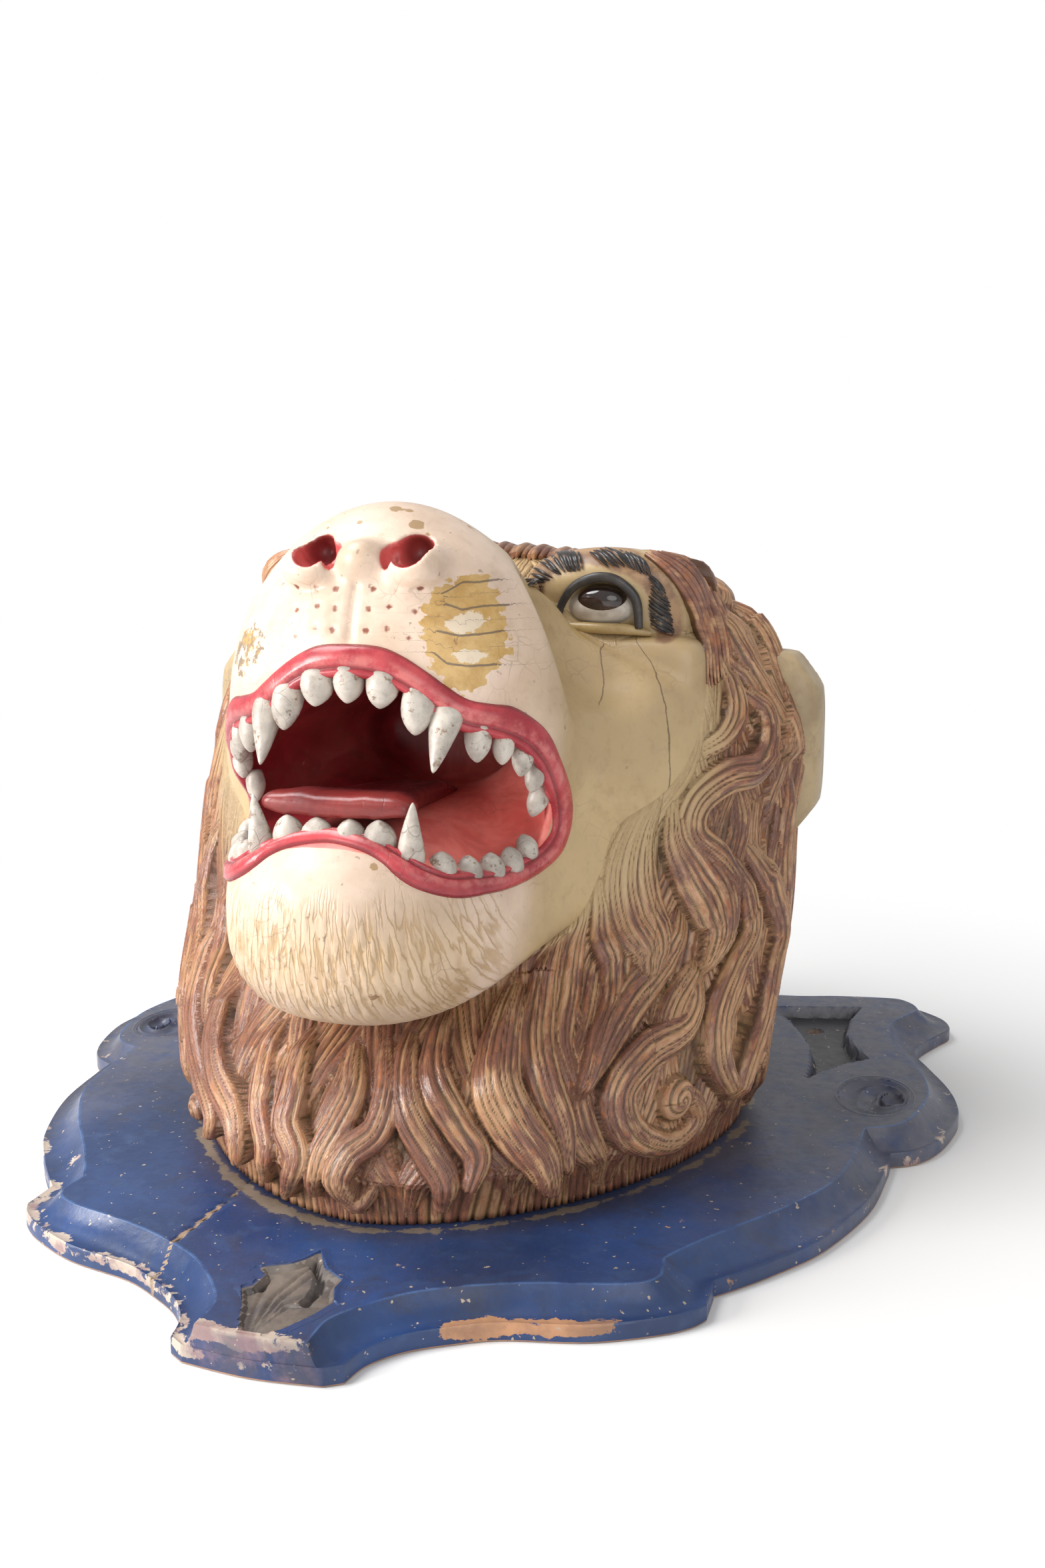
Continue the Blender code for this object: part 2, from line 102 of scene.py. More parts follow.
def smooth_line(points, count, closed=False):
    """A smooth line of even steps through the points."""
    p = np.array(points, float)
    n = len(p)
    last = n if closed else n - 1
    dense = []
    for i in range(last):
        a, b, c, d = (p[(i + k) % n] if closed else p[min(max(i + k, 0), n - 1)] for k in (-1, 0, 1, 2))
        for t in np.linspace(0, 1, 12, endpoint=False):
            dense.append(spline(a, b, c, d, t))
    dense.append(p[0] if closed else p[-1])
    dense = np.array(dense)
    run = np.r_[0, np.cumsum(np.linalg.norm(np.diff(dense, axis=0), axis=1))]
    at = np.linspace(0, run[-1], count + 1 if closed else count)
    line = np.stack([np.interp(at, run, dense[:, k]) for k in range(p.shape[1])], 1)
    return line[:-1] if closed else line


def both_sides(half):
    """The closed loop from its right half, whose ends lie on the middle line."""
    return [tuple(p) for p in half] + [(-p[0], *p[1:]) for p in half[-2:0:-1]]


def held(values):
    """Values held between 0 and 1."""
    return np.clip(values, 0, 1)


def unit(vectors):
    return vectors / np.maximum(np.linalg.norm(vectors, axis=-1, keepdims=True), 1e-6)


def ring_faces(rings, sides, closed=False):
    """Quads between rings of points, which close to a loop or get a cap at each end."""
    faces = []
    for r in range(rings if closed else rings - 1):
        after = (r + 1) % rings
        for i in range(sides):
            j = (i + 1) % sides
            faces.append((r * sides + i, r * sides + j, after * sides + j, after * sides + i))
    if not closed:
        faces.append(tuple(range(sides))[::-1])
        faces.append(tuple(range((rings - 1) * sides, rings * sides)))
    return faces


def grid_quads(rows, columns):
    number = np.arange(rows * columns).reshape(rows, columns)
    corners = (number[:-1, :-1], number[:-1, 1:], number[1:, 1:], number[1:, :-1])
    return np.stack(corners, -1).reshape(-1, 4)


def drop_unused(count, quads):
    """Which of the points the quads use, and the quads in the numbers that are left."""
    used = np.unique(quads)
    renumber = np.full(count, -1)
    renumber[used] = np.arange(len(used))
    return used, renumber[quads]


def open_rim(faces):
    """The edges of a sheet that only one face uses."""
    edges = set()
    for face in faces:
        edges.update(zip(face, face[1:] + face[:1]))
    return sorted((a, b) for a, b in edges if (b, a) not in edges)


def outline_distance(points, outline):
    """Signed distance in a plane from a closed outline, negative inside it."""
    best = np.full(len(points), 1e9)
    inside = np.zeros(len(points), bool)
    ring = np.array(outline, float)
    for a, b in zip(ring, np.roll(ring, -1, 0)):
        edge = b - a
        rel = points - a
        t = held(rel @ edge / (edge @ edge))
        best = np.minimum(best, ((rel - t[:, None] * edge) ** 2).sum(1))
        crosses = (a[1] > points[:, 1]) != (b[1] > points[:, 1])
        with np.errstate(divide="ignore", invalid="ignore"):
            at = a[0] + (points[:, 1] - a[1]) / (edge[1] if edge[1] else 1e-9) * edge[0]
        inside ^= crosses & (points[:, 0] < at)
    return np.where(inside, -1, 1) * np.sqrt(best)


def line_distance(points, *lines):
    """Distance in a plane from the nearest of some open lines."""
    best = np.full(len(points), 1e9)
    for line in lines:
        ring = np.array(line, float)
        for a, b in zip(ring, ring[1:]):
            edge = b - a
            t = held((points - a) @ edge / (edge @ edge))
            best = np.minimum(best, ((points - a - t[:, None] * edge) ** 2).sum(1))
    return np.sqrt(best)


print("smooth line check:", len(smooth_line(((0, 0), (1, 0), (1, 1)), 5)), "points")

# %% [markdown]
# Paint on old carved wood is never one colour. One node group, built once, gives every painted finish its
# wear: broad stains, fine grain, hairline crackle, and chips that show the ground below. It takes the paint's
# colour and hands back a colour, a roughness and a normal, so that each shader stays in its own material.

# %% A shader group for aged paint


def feed(value, target):
    """Links a socket to the target input, or sets the input to a number, a colour or a name."""
    if isinstance(value, bpy.types.NodeSocket):
        target.id_data.links.new(value, target)
    elif isinstance(value, tuple):
        target.default_value = (*value, 1)[: len(target.default_value)]
    else:
        target.default_value = value


def node(tree, kind, feeds=None, **settings):
    """A new node with its settings, and with some of its inputs fed."""
    made = tree.nodes.new(kind)
    for key, value in settings.items():
        setattr(made, key, value)
    for key, value in (feeds or {}).items():
        feed(value, made.inputs[key])
    return made


def math_node(operation, a, b=None, clamp=False):
    tree = next(x.id_data for x in (a, b) if isinstance(x, bpy.types.NodeSocket))
    feeds = {0: a} if b is None else {0: a, 1: b}
    return node(tree, "ShaderNodeMath", feeds, operation=operation, use_clamp=clamp).outputs[0]


def times(a, b, clamp=False):
    return math_node("MULTIPLY", a, b, clamp)


def plus(a, b, clamp=False):
    return math_node("ADD", a, b, clamp)


def minus(a, b):
    return math_node("SUBTRACT", a, b)


def size_of(value):
    return math_node("ABSOLUTE", value)


def ramp(value, low, high):
    """0 below low, 1 above high."""
    feeds = {"Value": value, "From Min": low, "From Max": high}
    return node(value.id_data, "ShaderNodeMapRange", feeds, interpolation_type="SMOOTHSTEP").outputs[0]


def noise(place, scale, detail=4, rough=0.5, distortion=0.0):
    feeds = {"Vector": place, "Scale": scale, "Detail": detail, "Roughness": rough, "Distortion": distortion}
    return node(place.id_data, "ShaderNodeTexNoise", feeds).outputs["Fac"]


def swing(value, width):
    """A noise round one half made to swing round zero."""
    return times(minus(value, 0.5), width)


def axes_of(place):
    """The three numbers of a place."""
    return node(place.id_data, "ShaderNodeSeparateXYZ", {0: place}).outputs


def mix_colour(factor, a, b):
    return node(factor.id_data, "ShaderNodeMix", {0: factor, 6: a, 7: b}, data_type="RGBA").outputs[2]


def tint(colour, where, strength, new):
    """Lays a new colour over the old one where the mask is, at the given strength."""
    return mix_colour(times(where, strength), colour, new)


def two_tone(place, grain, edges, first, second):
    """Two colours broken up by one noise; grain holds its scale, detail and roughness."""
    return mix_colour(ramp(noise(place, *grain), *edges), first, second)


def add_sockets(tree, sockets, result):
    """Gives a group its named inputs and outputs, and hands back their two ends inside."""
    for name, kind, default in sockets:
        made = tree.interface.new_socket(name, in_out="INPUT", socket_type="NodeSocket" + kind)
        if default is not None:
            made.default_value = default
    for name, kind in result:
        tree.interface.new_socket(name, in_out="OUTPUT", socket_type="NodeSocket" + kind)
    return node(tree, "NodeGroupInput").outputs, node(tree, "NodeGroupOutput").inputs


def build_aged_paint():
    tree = bpy.data.node_groups.new("aged_paint", "ShaderNodeTree")
    sockets = (
        ("Paint", "Color", (0.8, 0.7, 0.6, 1)), ("Ground", "Color", (0.3, 0.18, 0.1, 1)),
        ("Dirt", "Color", (0.1, 0.07, 0.05, 1)), ("Chips", "Float", 0.3), ("Stain", "Float", 0.3),
        ("Crackle", "Float", 0.3), ("Roughness", "Float", 0.4), ("Relief", "Float", 0.3),
        ("Height", "Float", 0.0), ("Vector", "Vector", None),
    )
    result = (("Color", "Color"), ("Roughness", "Float"), ("Normal", "Vector"))
    enter, leave = add_sockets(tree, sockets, result)
    place = enter["Vector"]

    broad = noise(place, 14, 5, 0.6)
    grain = noise(place, 160, 5, 0.65)
    speck = noise(place, 420, 3, 0.6)
    chip_field = noise(place, 62, 7, 0.62, 0.4)

    stained = times(ramp(broad, 0.42, 0.72), enter["Stain"], clamp=True)
    colour = mix_colour(stained, enter["Paint"], enter["Dirt"])
    fine = times(ramp(grain, 0.5, 0.78), times(enter["Stain"], 0.6))
    colour = mix_colour(fine, colour, enter["Dirt"])

    warp = node(tree, "ShaderNodeTexNoise", {"Vector": place, "Scale": 90}).outputs["Color"]
    shift = node(tree, "ShaderNodeVectorMath", {0: warp, "Scale": 0.006}, operation="SCALE").outputs[0]
    warped = node(tree, "ShaderNodeVectorMath", {0: place, 1: shift}, operation="ADD").outputs[0]
    cells = node(tree, "ShaderNodeTexVoronoi", feature="DISTANCE_TO_EDGE")
    feed(warped, cells.inputs["Vector"])
    feed(95, cells.inputs["Scale"])
    line = minus(1.0, ramp(cells.outputs["Distance"], 0.0, 0.035))
    line = times(line, ramp(noise(place, 22, 2), 0.5, 0.66))
    line = times(line, enter["Crackle"], clamp=True)
    colour = mix_colour(line, colour, enter["Dirt"])

    level = minus(0.86, times(enter["Chips"], 0.42))
    chipped = minus(chip_field, level)
    chipped = times(chipped, 60, clamp=True)
    colour = mix_colour(chipped, colour, enter["Ground"])
    feed(colour, leave["Color"])

    rough = plus(enter["Roughness"], times(chipped, 0.35))
    rough = plus(rough, swing(grain, 0.35))
    rough = plus(rough, times(stained, 0.15), clamp=True)
    feed(rough, leave["Roughness"])

    height = plus(times(broad, 0.6), times(grain, 0.3))
    height = plus(height, times(speck, 0.08))
    height = minus(height, times(line, 0.35))
    height = minus(height, times(chipped, 0.5))
    height = plus(height, enter["Height"])
    bump = node(tree, "ShaderNodeBump", {"Distance": 0.001, "Height": height, "Strength": enter["Relief"]})
    feed(bump.outputs[0], leave["Normal"])
    return tree


AGED_PAINT = build_aged_paint()
print("aged paint group:", len(AGED_PAINT.nodes), "nodes")

# %% [markdown]
# Each finish is a material that places this group with its own colours. Where a piece carries painted
# masks, such as the whisker patch, the mask is a distance in millimetres stored on the points, so the edge
# stays crisp however large the triangles are.

# %% Start of every painted finish


def start_material(name):
    material = bpy.data.materials.new(name)
    material.use_nodes = True
    tree = material.node_tree
    shader = tree.nodes["Principled BSDF"]
    place = node(tree, "ShaderNodeTexCoord").outputs["Object"]
    return material, tree, shader, place


def paint_over(tree, shader, place, colour, ground, dirt, chips, stain, crackle, rough, relief):
    """Places the aged paint group and feeds the shader from it."""
    feeds = {
        "Paint": colour, "Ground": ground, "Dirt": dirt, "Chips": chips, "Stain": stain, "Crackle": crackle,
        "Roughness": rough, "Relief": relief, "Vector": place,
    }
    group = node(tree, "ShaderNodeGroup", node_tree=AGED_PAINT)
    for key, value in feeds.items():
        feed(value, group.inputs[key])
    for name, target in (("Color", "Base Color"), ("Roughness", "Roughness"), ("Normal", "Normal")):
        feed(group.outputs[name], shader.inputs[target])
    return group


def mask(tree, name):
    return node(tree, "ShaderNodeAttribute", attribute_name=name).outputs["Fac"]


def near_zero(value, width):
    """1 where the value is within width of zero, fading just outside."""
    return minus(1.0, ramp(size_of(value), width * 0.6, width * 1.3))


print("sockets of the paint:", [item.name for item in AGED_PAINT.interface.items_tree])

# %% [markdown]
# ## The head's form
# The solid head was blended from rounded blocks, each a rough distance in millimetres. The same blocks
# are used here, because the fine skin must keep the form of the solid. A mesh tool that slices such a
# distance field, known as surface nets, gives evenly sized faces that follow hollows and undercuts alike.

# %% The rounded blocks of the face


def rounded_block(points, centre, reach, powers):
    powers = np.array(powers, float)
    share = np.abs((points - np.array(centre, float)) / np.array(reach, float))
    level = (share**powers).sum(-1) ** (1.0 / powers.min())
    return (level - 1) * min(reach) * 0.9


def blend(a, b, width):
    share = held(0.5 + 0.5 * (b - a) / width)
    return b * (1 - share) + a * share - width * share * (1 - share)


def carve(a, tool, width):
    """Removes the tool from the form, with a rounded edge."""
    return -blend(-a, tool, width)


def mirrored_over(points):
    """The points with both sides of the head laid over its left side."""
    mirrored = points.copy()
    mirrored[:, 0] = np.abs(mirrored[:, 0])
    return mirrored


EYE_SHIFT = 6.0


def eye_side(points):
    """The same, with the lion's right eye, which stands nearer to the middle, over the left one."""
    eyes = mirrored_over(points)
    eyes[:, 0] += EYE_SHIFT * (points[:, 0] < 0)
    return eyes


def to_side(points, side):
    """Left-side points as they are for side 1, or moved to the right eye's side for side -1."""
    return np.array(points) * np.array((side, 1, 1)) + np.array((EYE_SHIFT if side < 0 else 0.0, 0, 0))


def face_form(points):
    """The whole head under its skin: muzzle, jaw, brow, cheeks, eye walls and nose wings."""
    mirrored = mirrored_over(points)
    form = rounded_block(points, (0, -87, 262), (86, 65, 107.6), (2, 2, 2))
    form = blend(form, rounded_block(points, (0, -40, 258), (84, 82, 80), (2.5, 2.5, 2.5)), 26)
    form = blend(form, rounded_block(points, (0, 60, 199), (152, 125, 101), (2.6, 2.6, 5)), 24)
    jaw = rounded_block(points, (0, -91, 170), (77, 106, 61), (2.2, 2.2, 2.7))
    jaw = blend(jaw, rounded_block(points, (0, 15, 162), (118, 125, 62), (2.2, 2.2, 2.4)), 20)
    under = (points[:, 2] - (113 + 0.36 * np.clip(points[:, 1] + 165, 0, 120))) * -0.94
    form = blend(form, -blend(-jaw, -under, 16), 14)
    form = blend(form, rounded_block(points, (0, 104, 236), (140, 98, 106), (3, 3, 3)), 10)
    form = carve(form, rounded_block(mirrored, (98, -50, 322), (38.5, 42, 56), (2, 4, 2)), 9)
    form = blend(form, rounded_block(mirrored, (84, 44, 259), (58, 43, 39.5), (6, 8, 8)), 5)
    eyes = eye_side(points)
    form = blend(form, rounded_block(eyes, (84, 55, 308), (48, 43, 35), (3.4, 3.4, 3.4)), 3)
    form = blend(form, rounded_block(eyes, (84, 24, 329), (42, 20, 17), (2, 2, 2)), 8)
    form = blend(form, rounded_block(eyes, (80, 24, 313), (22, 20, 16), (2, 2, 2)), 4)
    form = blend(form, rounded_block(mirrored, (25, -124, 340), (15, 16, 10), (2, 2, 2)), 5)
    front = np.maximum(0, 78 - points[:, 1])
    return np.maximum(form, mane_form(points) + 13 - 0.9 * front - 6 * np.maximum(0, front - 40))


MANE_TOP = 346
# height, half width, half depth, middle in y and squareness of the mane's outer level
MANE_LEVELS = np.array(
    (
        (-20, 166, 194, 30, 1.72), (19, 167, 196, 30, 1.72), (32, 171, 198, 30, 1.76),
        (48, 178, 202, 29, 1.80), (90, 183, 190, 38, 1.90), (130, 187, 160, 53, 2.0),
        (180, 187, 152, 72, 2.1), (230, 189, 140, 90, 2.2), (265, 179, 124, 95, 2.3),
        (298, 165, 110, 100, 2.3), (319, 144, 94, 100, 2.3), (334, 116, 72, 100, 2.3),
        (341, 90, 54, 98, 2.2), (MANE_TOP, 38, 26, 92, 2.0),
    ),
    float,
)


def mane_form(points):
    """Rough distance from the mane's outer level, before any lock is carved."""
    z = points[:, 2]
    half_width, half_depth, centre_y, power = (
        np.interp(z, MANE_LEVELS[:, 0], MANE_LEVELS[:, k]) for k in (1, 2, 3, 4)
    )
    x_share = np.abs((points[:, 0] - 3) / half_width)
    y_share = np.abs((points[:, 1] - centre_y) / half_depth)
    distance = ((x_share**power + y_share**power) ** (1 / power) - 1) * np.minimum(half_width, half_depth)
    return np.maximum(distance, z - MANE_TOP)


print("levels of the mane:", len(MANE_LEVELS), "up to", MANE_TOP, "mm")

# %% [markdown]
# Surface nets put one point in each small cell that the surface crosses, at the mean of its crossings, and a
# quad across each crossed edge. A few short steps along the form's slope then settle the points on it. A
# boolean of solid blocks could do this too, but its faces would be long slivers that shade badly.

# %% Surface nets


def slice_form(form, low, high, step):
    """Points and quads of the surface where the form is zero, inside a box."""
    axes = [np.arange(a, b + step * 4, step)[: int((b - a) / step / 4 + 1) * 4] for a, b in zip(low, high)]
    shape = tuple(len(a) for a in axes)
    near_grid = np.stack(np.meshgrid(*[a[::4] + step * 1.5 for a in axes], indexing="ij"), -1)
    coarse = form(near_grid.reshape(-1, 3)).reshape(near_grid.shape[:3])
    values = coarse.repeat(4, 0).repeat(4, 1).repeat(4, 2)
    near = np.argwhere(np.abs(values) < step * 9)
    values[tuple(near.T)] = form(np.array(low, float) + near * step)
    inside = values < 0
    corners = [(i, j, k) for i in (0, 1) for j in (0, 1) for k in (0, 1)]

    def shifted(array, corner):
        return array[tuple(slice(c, n - 1 + c) for c, n in zip(corner, shape))]

    count = sum(shifted(inside, c).astype(np.int8) for c in corners)
    active = (count > 0) & (count < 8)
    number = np.full(tuple(n - 1 for n in shape), -1, np.int32)
    number[active] = np.arange(active.sum())
    cells = np.argwhere(active)
    total = np.zeros((len(cells), 3))
    hits = np.zeros(len(cells))
    for a in corners:
        for axis in range(3):
            if a[axis]:
                continue
            b = tuple(c + (i == axis) for i, c in enumerate(a))
            va = values[tuple((cells + a).T)]
            vb = values[tuple((cells + b).T)]
            crossed = (va < 0) != (vb < 0)
            share = np.where(crossed, va / np.where(va == vb, 1, va - vb), 0)
            spot = np.array(a, float) + share[:, None] * (np.array(b) - np.array(a))
            total += spot * crossed[:, None]
            hits += crossed
    points = np.array(low, float) + (cells + total / hits[:, None]) * step
    faces = []
    for axis in range(3):
        u, v = [(1, 2), (2, 0), (0, 1)][axis]
        here = [slice(1, n - 1) for n in shape]
        there = list(here)
        here[axis] = slice(0, shape[axis] - 1)
        there[axis] = slice(1, shape[axis])
        starts = inside[tuple(here)]
        ends = inside[tuple(there)]
        for flip, chosen in ((False, starts & ~ends), (True, ~starts & ends)):
            spots = np.argwhere(chosen) + [0 if i == axis else 1 for i in range(3)]
            ring = []
            for du, dv in ((1, 1), (0, 1), (0, 0), (1, 0)):
                cell = spots.copy()
                cell[:, u] -= du
                cell[:, v] -= dv
                ring.append(number[tuple(cell.T)])
            quads = np.stack(ring, 1)
            faces.append(quads[:, ::-1] if flip else quads)
    return points, np.concatenate(faces)


def slope(form, points, step=0.4):
    parts = []
    for axis in range(3):
        shift = np.zeros(3)
        shift[axis] = step
        parts.append((form(points + shift) - form(points - shift)) / (2 * step))
    return np.stack(parts, 1)


def settle(form, points, limit):
    """Moves points onto the form by two short steps along its slope."""
    start = points.copy()
    for _ in range(2):
        away = slope(form, points)
        size = np.maximum((away**2).sum(1), 0.05)
        points = points - away * (form(points) / size)[:, None]
        moved = points - start
        length = np.linalg.norm(moved, axis=1)
        points = start + moved * np.minimum(1, limit / np.maximum(length, 1e-6))[:, None]
    return points


def ball(points):
    return np.linalg.norm(points, axis=1) - 8


print("net of a ball:", len(slice_form(ball, (-12, -12, -12), (12, 12, 12), 2.0)[0]), "points")

# %% [markdown]
# ## Mouth, nostrils and carved marks
# The roaring mouth is a hollow behind the painted lips. Seen from the front it has the shape of the lips'
# inner edge, and further in it rounds off to the throat. Distances to that outline, taken in the plane of
# the opening, carve it out of the face.

# %% The mouth hollow
MOUTH_HALF = (
    (0, 289), (16, 288), (28, 282), (42, 271), (56, 262), (70, 257), (80, 247), (85, 230), (84, 212),
    (79, 200), (70, 196), (58, 198), (46, 204), (32, 211), (16, 215), (0, 216),
)
MOUTH_OUTLINE = smooth_line(both_sides(MOUTH_HALF), 44, closed=True)


def mouth_hollow(points):
    x, y, z = points.T
    depth = np.interp(y, (-100, -60, -20, 14), (0, 0.5, 1, 1))
    front = outline_distance(points[:, (0, 2)], MOUTH_OUTLINE)
    throat = (np.hypot(x / 43, (z - 243) / 29) - 1) * 29
    side = front * (1 - depth) + throat * depth
    return blend(-side, -(y - 12), 16) * -1


def distance_to_points(points, targets):
    best = np.full(len(points), 1e9)
    for target in targets:
        best = np.minimum(best, ((points - np.array(target, float)) ** 2).sum(1))
    return np.sqrt(best)


WHISKERS = [
    (9, -138, 328), (20, -137, 328), (31, -133, 329), (8, -142, 319), (18, -140, 320), (30, -138, 318),
    (8, -145, 309), (18, -144, 310), (29, -143, 306), (39, -140, 310), (38, -137, 321),
]
WHISKERS += [(-x - 1, y, z) for x, y, z in WHISKERS]
print("mouth outline:", len(MOUTH_OUTLINE), "points; whisker dots:", len(WHISKERS))

# %% [markdown]
# The fine face is the blended form with its hollows and the small marks of the gouge: the groove below the
# nose, the dimples for the whiskers and the short flutes of the beard on the chin.

# %% The carved face as a form


def beard_flutes(points):
    """Depth of the short gouge cuts on the chin: they run down and fan out below."""
    x, y, z = points.T
    fan = 1 + 0.0045 * (188 - z)
    around = x / fan + 1.3 * np.sin(z * 0.15 + x * 0.1) + 0.6 * np.sin(z * 0.31 + x * 0.3)
    wave = np.abs(np.sin(math.pi * around / 4.6))
    top = 188 - 0.0035 * x**2 + 5 * np.sin(x * 0.35) + 3 * np.sin(x * 0.83)
    fade = held((top - z) / 14) * held((z - 122 - 2 * np.sin(x * 0.5)) / 12)
    fade *= held((-y - 125) / 25)
    return 0.6 * (1 - wave**0.7) * fade


def nostril_hollow(mirrored):
    """A comma: a round hole above the wing with a tail that runs down beside the septum."""
    hole = rounded_block(mirrored, (25, -127, 345.5), (9.2, 18, 9.4), (2, 2, 2))
    tail = rounded_block(mirrored, (15, -130, 343.5), (3.8, 8, 7.5), (2, 2, 2))
    return np.minimum(hole, tail)


def carved_face(points):
    x, y, z = points.T
    mirrored = mirrored_over(points)
    form = face_form(points)
    form = carve(form, mouth_hollow(points), 2.5)
    form = blend(form, rounded_block(points, (0.5, -131, 341), (10.5, 9, 10), (2, 2, 2)), 5)
    form = blend(form, rounded_block(mirrored, (27, -130, 334.5), (13, 10, 6.5), (2, 2, 2)), 2.5)
    form = carve(form, nostril_hollow(mirrored), 1.6)
    form = carve(form, rounded_block(eye_side(points), (83.5, 5, 314), (21.5, 10, 13.5), (2, 2, 2)), 1.5)
    front = held((-y - 100) / 20)
    groove = np.exp(-((x / 2.2) ** 2)) * held((z - 301) / 4) * held((334 - z) / 6)
    form = form + 1.4 * groove * front
    form = form + 0.7 * np.exp(-((distance_to_points(points, WHISKERS) / 1.8) ** 2))
    return form + beard_flutes(points)


BURIED = -15.0


def visible_face(points):
    """The carved face and the lining of the mouth, without what the mane hides."""
    return np.maximum(carved_face(points), np.minimum(BURIED - mane_form(points), mouth_hollow(points) - 8))


NOSE_AT = (0.0, -140.0, 340.0)
print("from the nose to the face, mm:", visible_face(np.array([NOSE_AT])).round(1))

# %% [markdown]
# The face is sliced at a step fine enough for lips and nostrils. What lies deep inside the mane is dropped,
# and the rim that this leaves is closed by a fan out of sight, so that the piece is a closed solid.

# %% Slice the face
HEAD_CENTRE = (0, 70, 150)


def close_inside(points, faces, masks):
    """Closes an open skin by a fan from its rim to the middle of the head, out of sight."""
    points = np.vstack([points, np.array(HEAD_CENTRE, float)])
    faces = faces + [[b, a, len(points) - 1] for a, b in open_rim(faces)]
    masks = {key: np.r_[values, 0] for key, values in masks.items()}
    return points, faces, masks


FACE_STEP = 1.78
face_points, face_quads = slice_form(visible_face, (-156, -203, 100), (156, 150, 376), FACE_STEP)
buried = (mane_form(face_points) < BURIED + 2) & (mouth_hollow(face_points) > 4)
keep = ~buried[face_quads].all(1)
used, face_quads = drop_unused(len(face_points), face_quads[keep])
face_points = settle(carved_face, face_points[used], FACE_STEP * 0.7)
print("face:", len(face_points), "points,", len(face_quads) * 2, "triangles")

# %% [markdown]
# ## Paint of the face
# The muzzle and chin are a worn off-white, the cheeks an aged ochre cream. Masks stored on the points say
# how far each point is from the whisker patch, the dots, the cracks in the wood and the red of the nostrils.

# %% Masks for the painted face
PATCH_EDGE = [
    (45, 332), (54, 335), (62, 326), (65, 318), (69, 307), (71, 298), (66, 293), (61, 283), (54, 279),
    (46, 283), (40, 292), (34, 308), (33, 319), (38, 330),
]
CRACKS = (
    [(84, 304), (88, 292), (92, 278), (94, 267), (95, 253), (95.5, 236), (95, 218), (94, 204), (95, 187)],
    [(104, 297), (114, 285), (122, 273), (126, 263), (129, 249), (130, 228), (129, 205)],
    [(86, 196), (87, 172), (85, 160)],
)
GREY_PATCH = [(-70, 303), (-60, 311), (-50, 305), (-54, 293), (-66, 284), (-78, 290)]
WHISKER_STROKES = (
    [(41, 326), (48, 331), (55, 331), (61, 332)], [(43, 321), (50, 318.5), (58, 320), (67, 320)],
    [(41, 309), (50, 306.5), (58, 307), (66, 308)], [(40, 299), (46, 294), (55, 292.5), (66, 293)],
)
PAINT_LOSSES = (
    (8, -104, 367, 3.5), (14, -103, 366, 2.5), (22, -112, 359, 4), (-7, -115, 360, 2),
    (28, -115, 354, 1.5), (-25, -112, 357, 1.5), (25, -181, 205, 2.2), (-66, -98, 318, 3),
    (12, -168, 152, 1.6), (72, -150, 172, 1.4),
)


def line_offset(points, line):
    """How far points lie to the side of a line down the face, with its sign; large beyond its ends."""
    ring = np.array(line, float)
    at = np.interp(points[:, 2], ring[::-1, 1], ring[::-1, 0])
    past = np.maximum(0, points[:, 2] - ring[0, 1]) + np.maximum(0, ring[-1, 1] - points[:, 2])
    offset = points[:, 0] - at
    return np.where(offset < 0, -1, 1) * np.hypot(offset, past * 3)


BROW_LINE = [
    (42, 318), (46, 330), (55, 339), (70, 344), (88, 342), (102, 337), (114, 328), (120, 314), (120, 301)
]


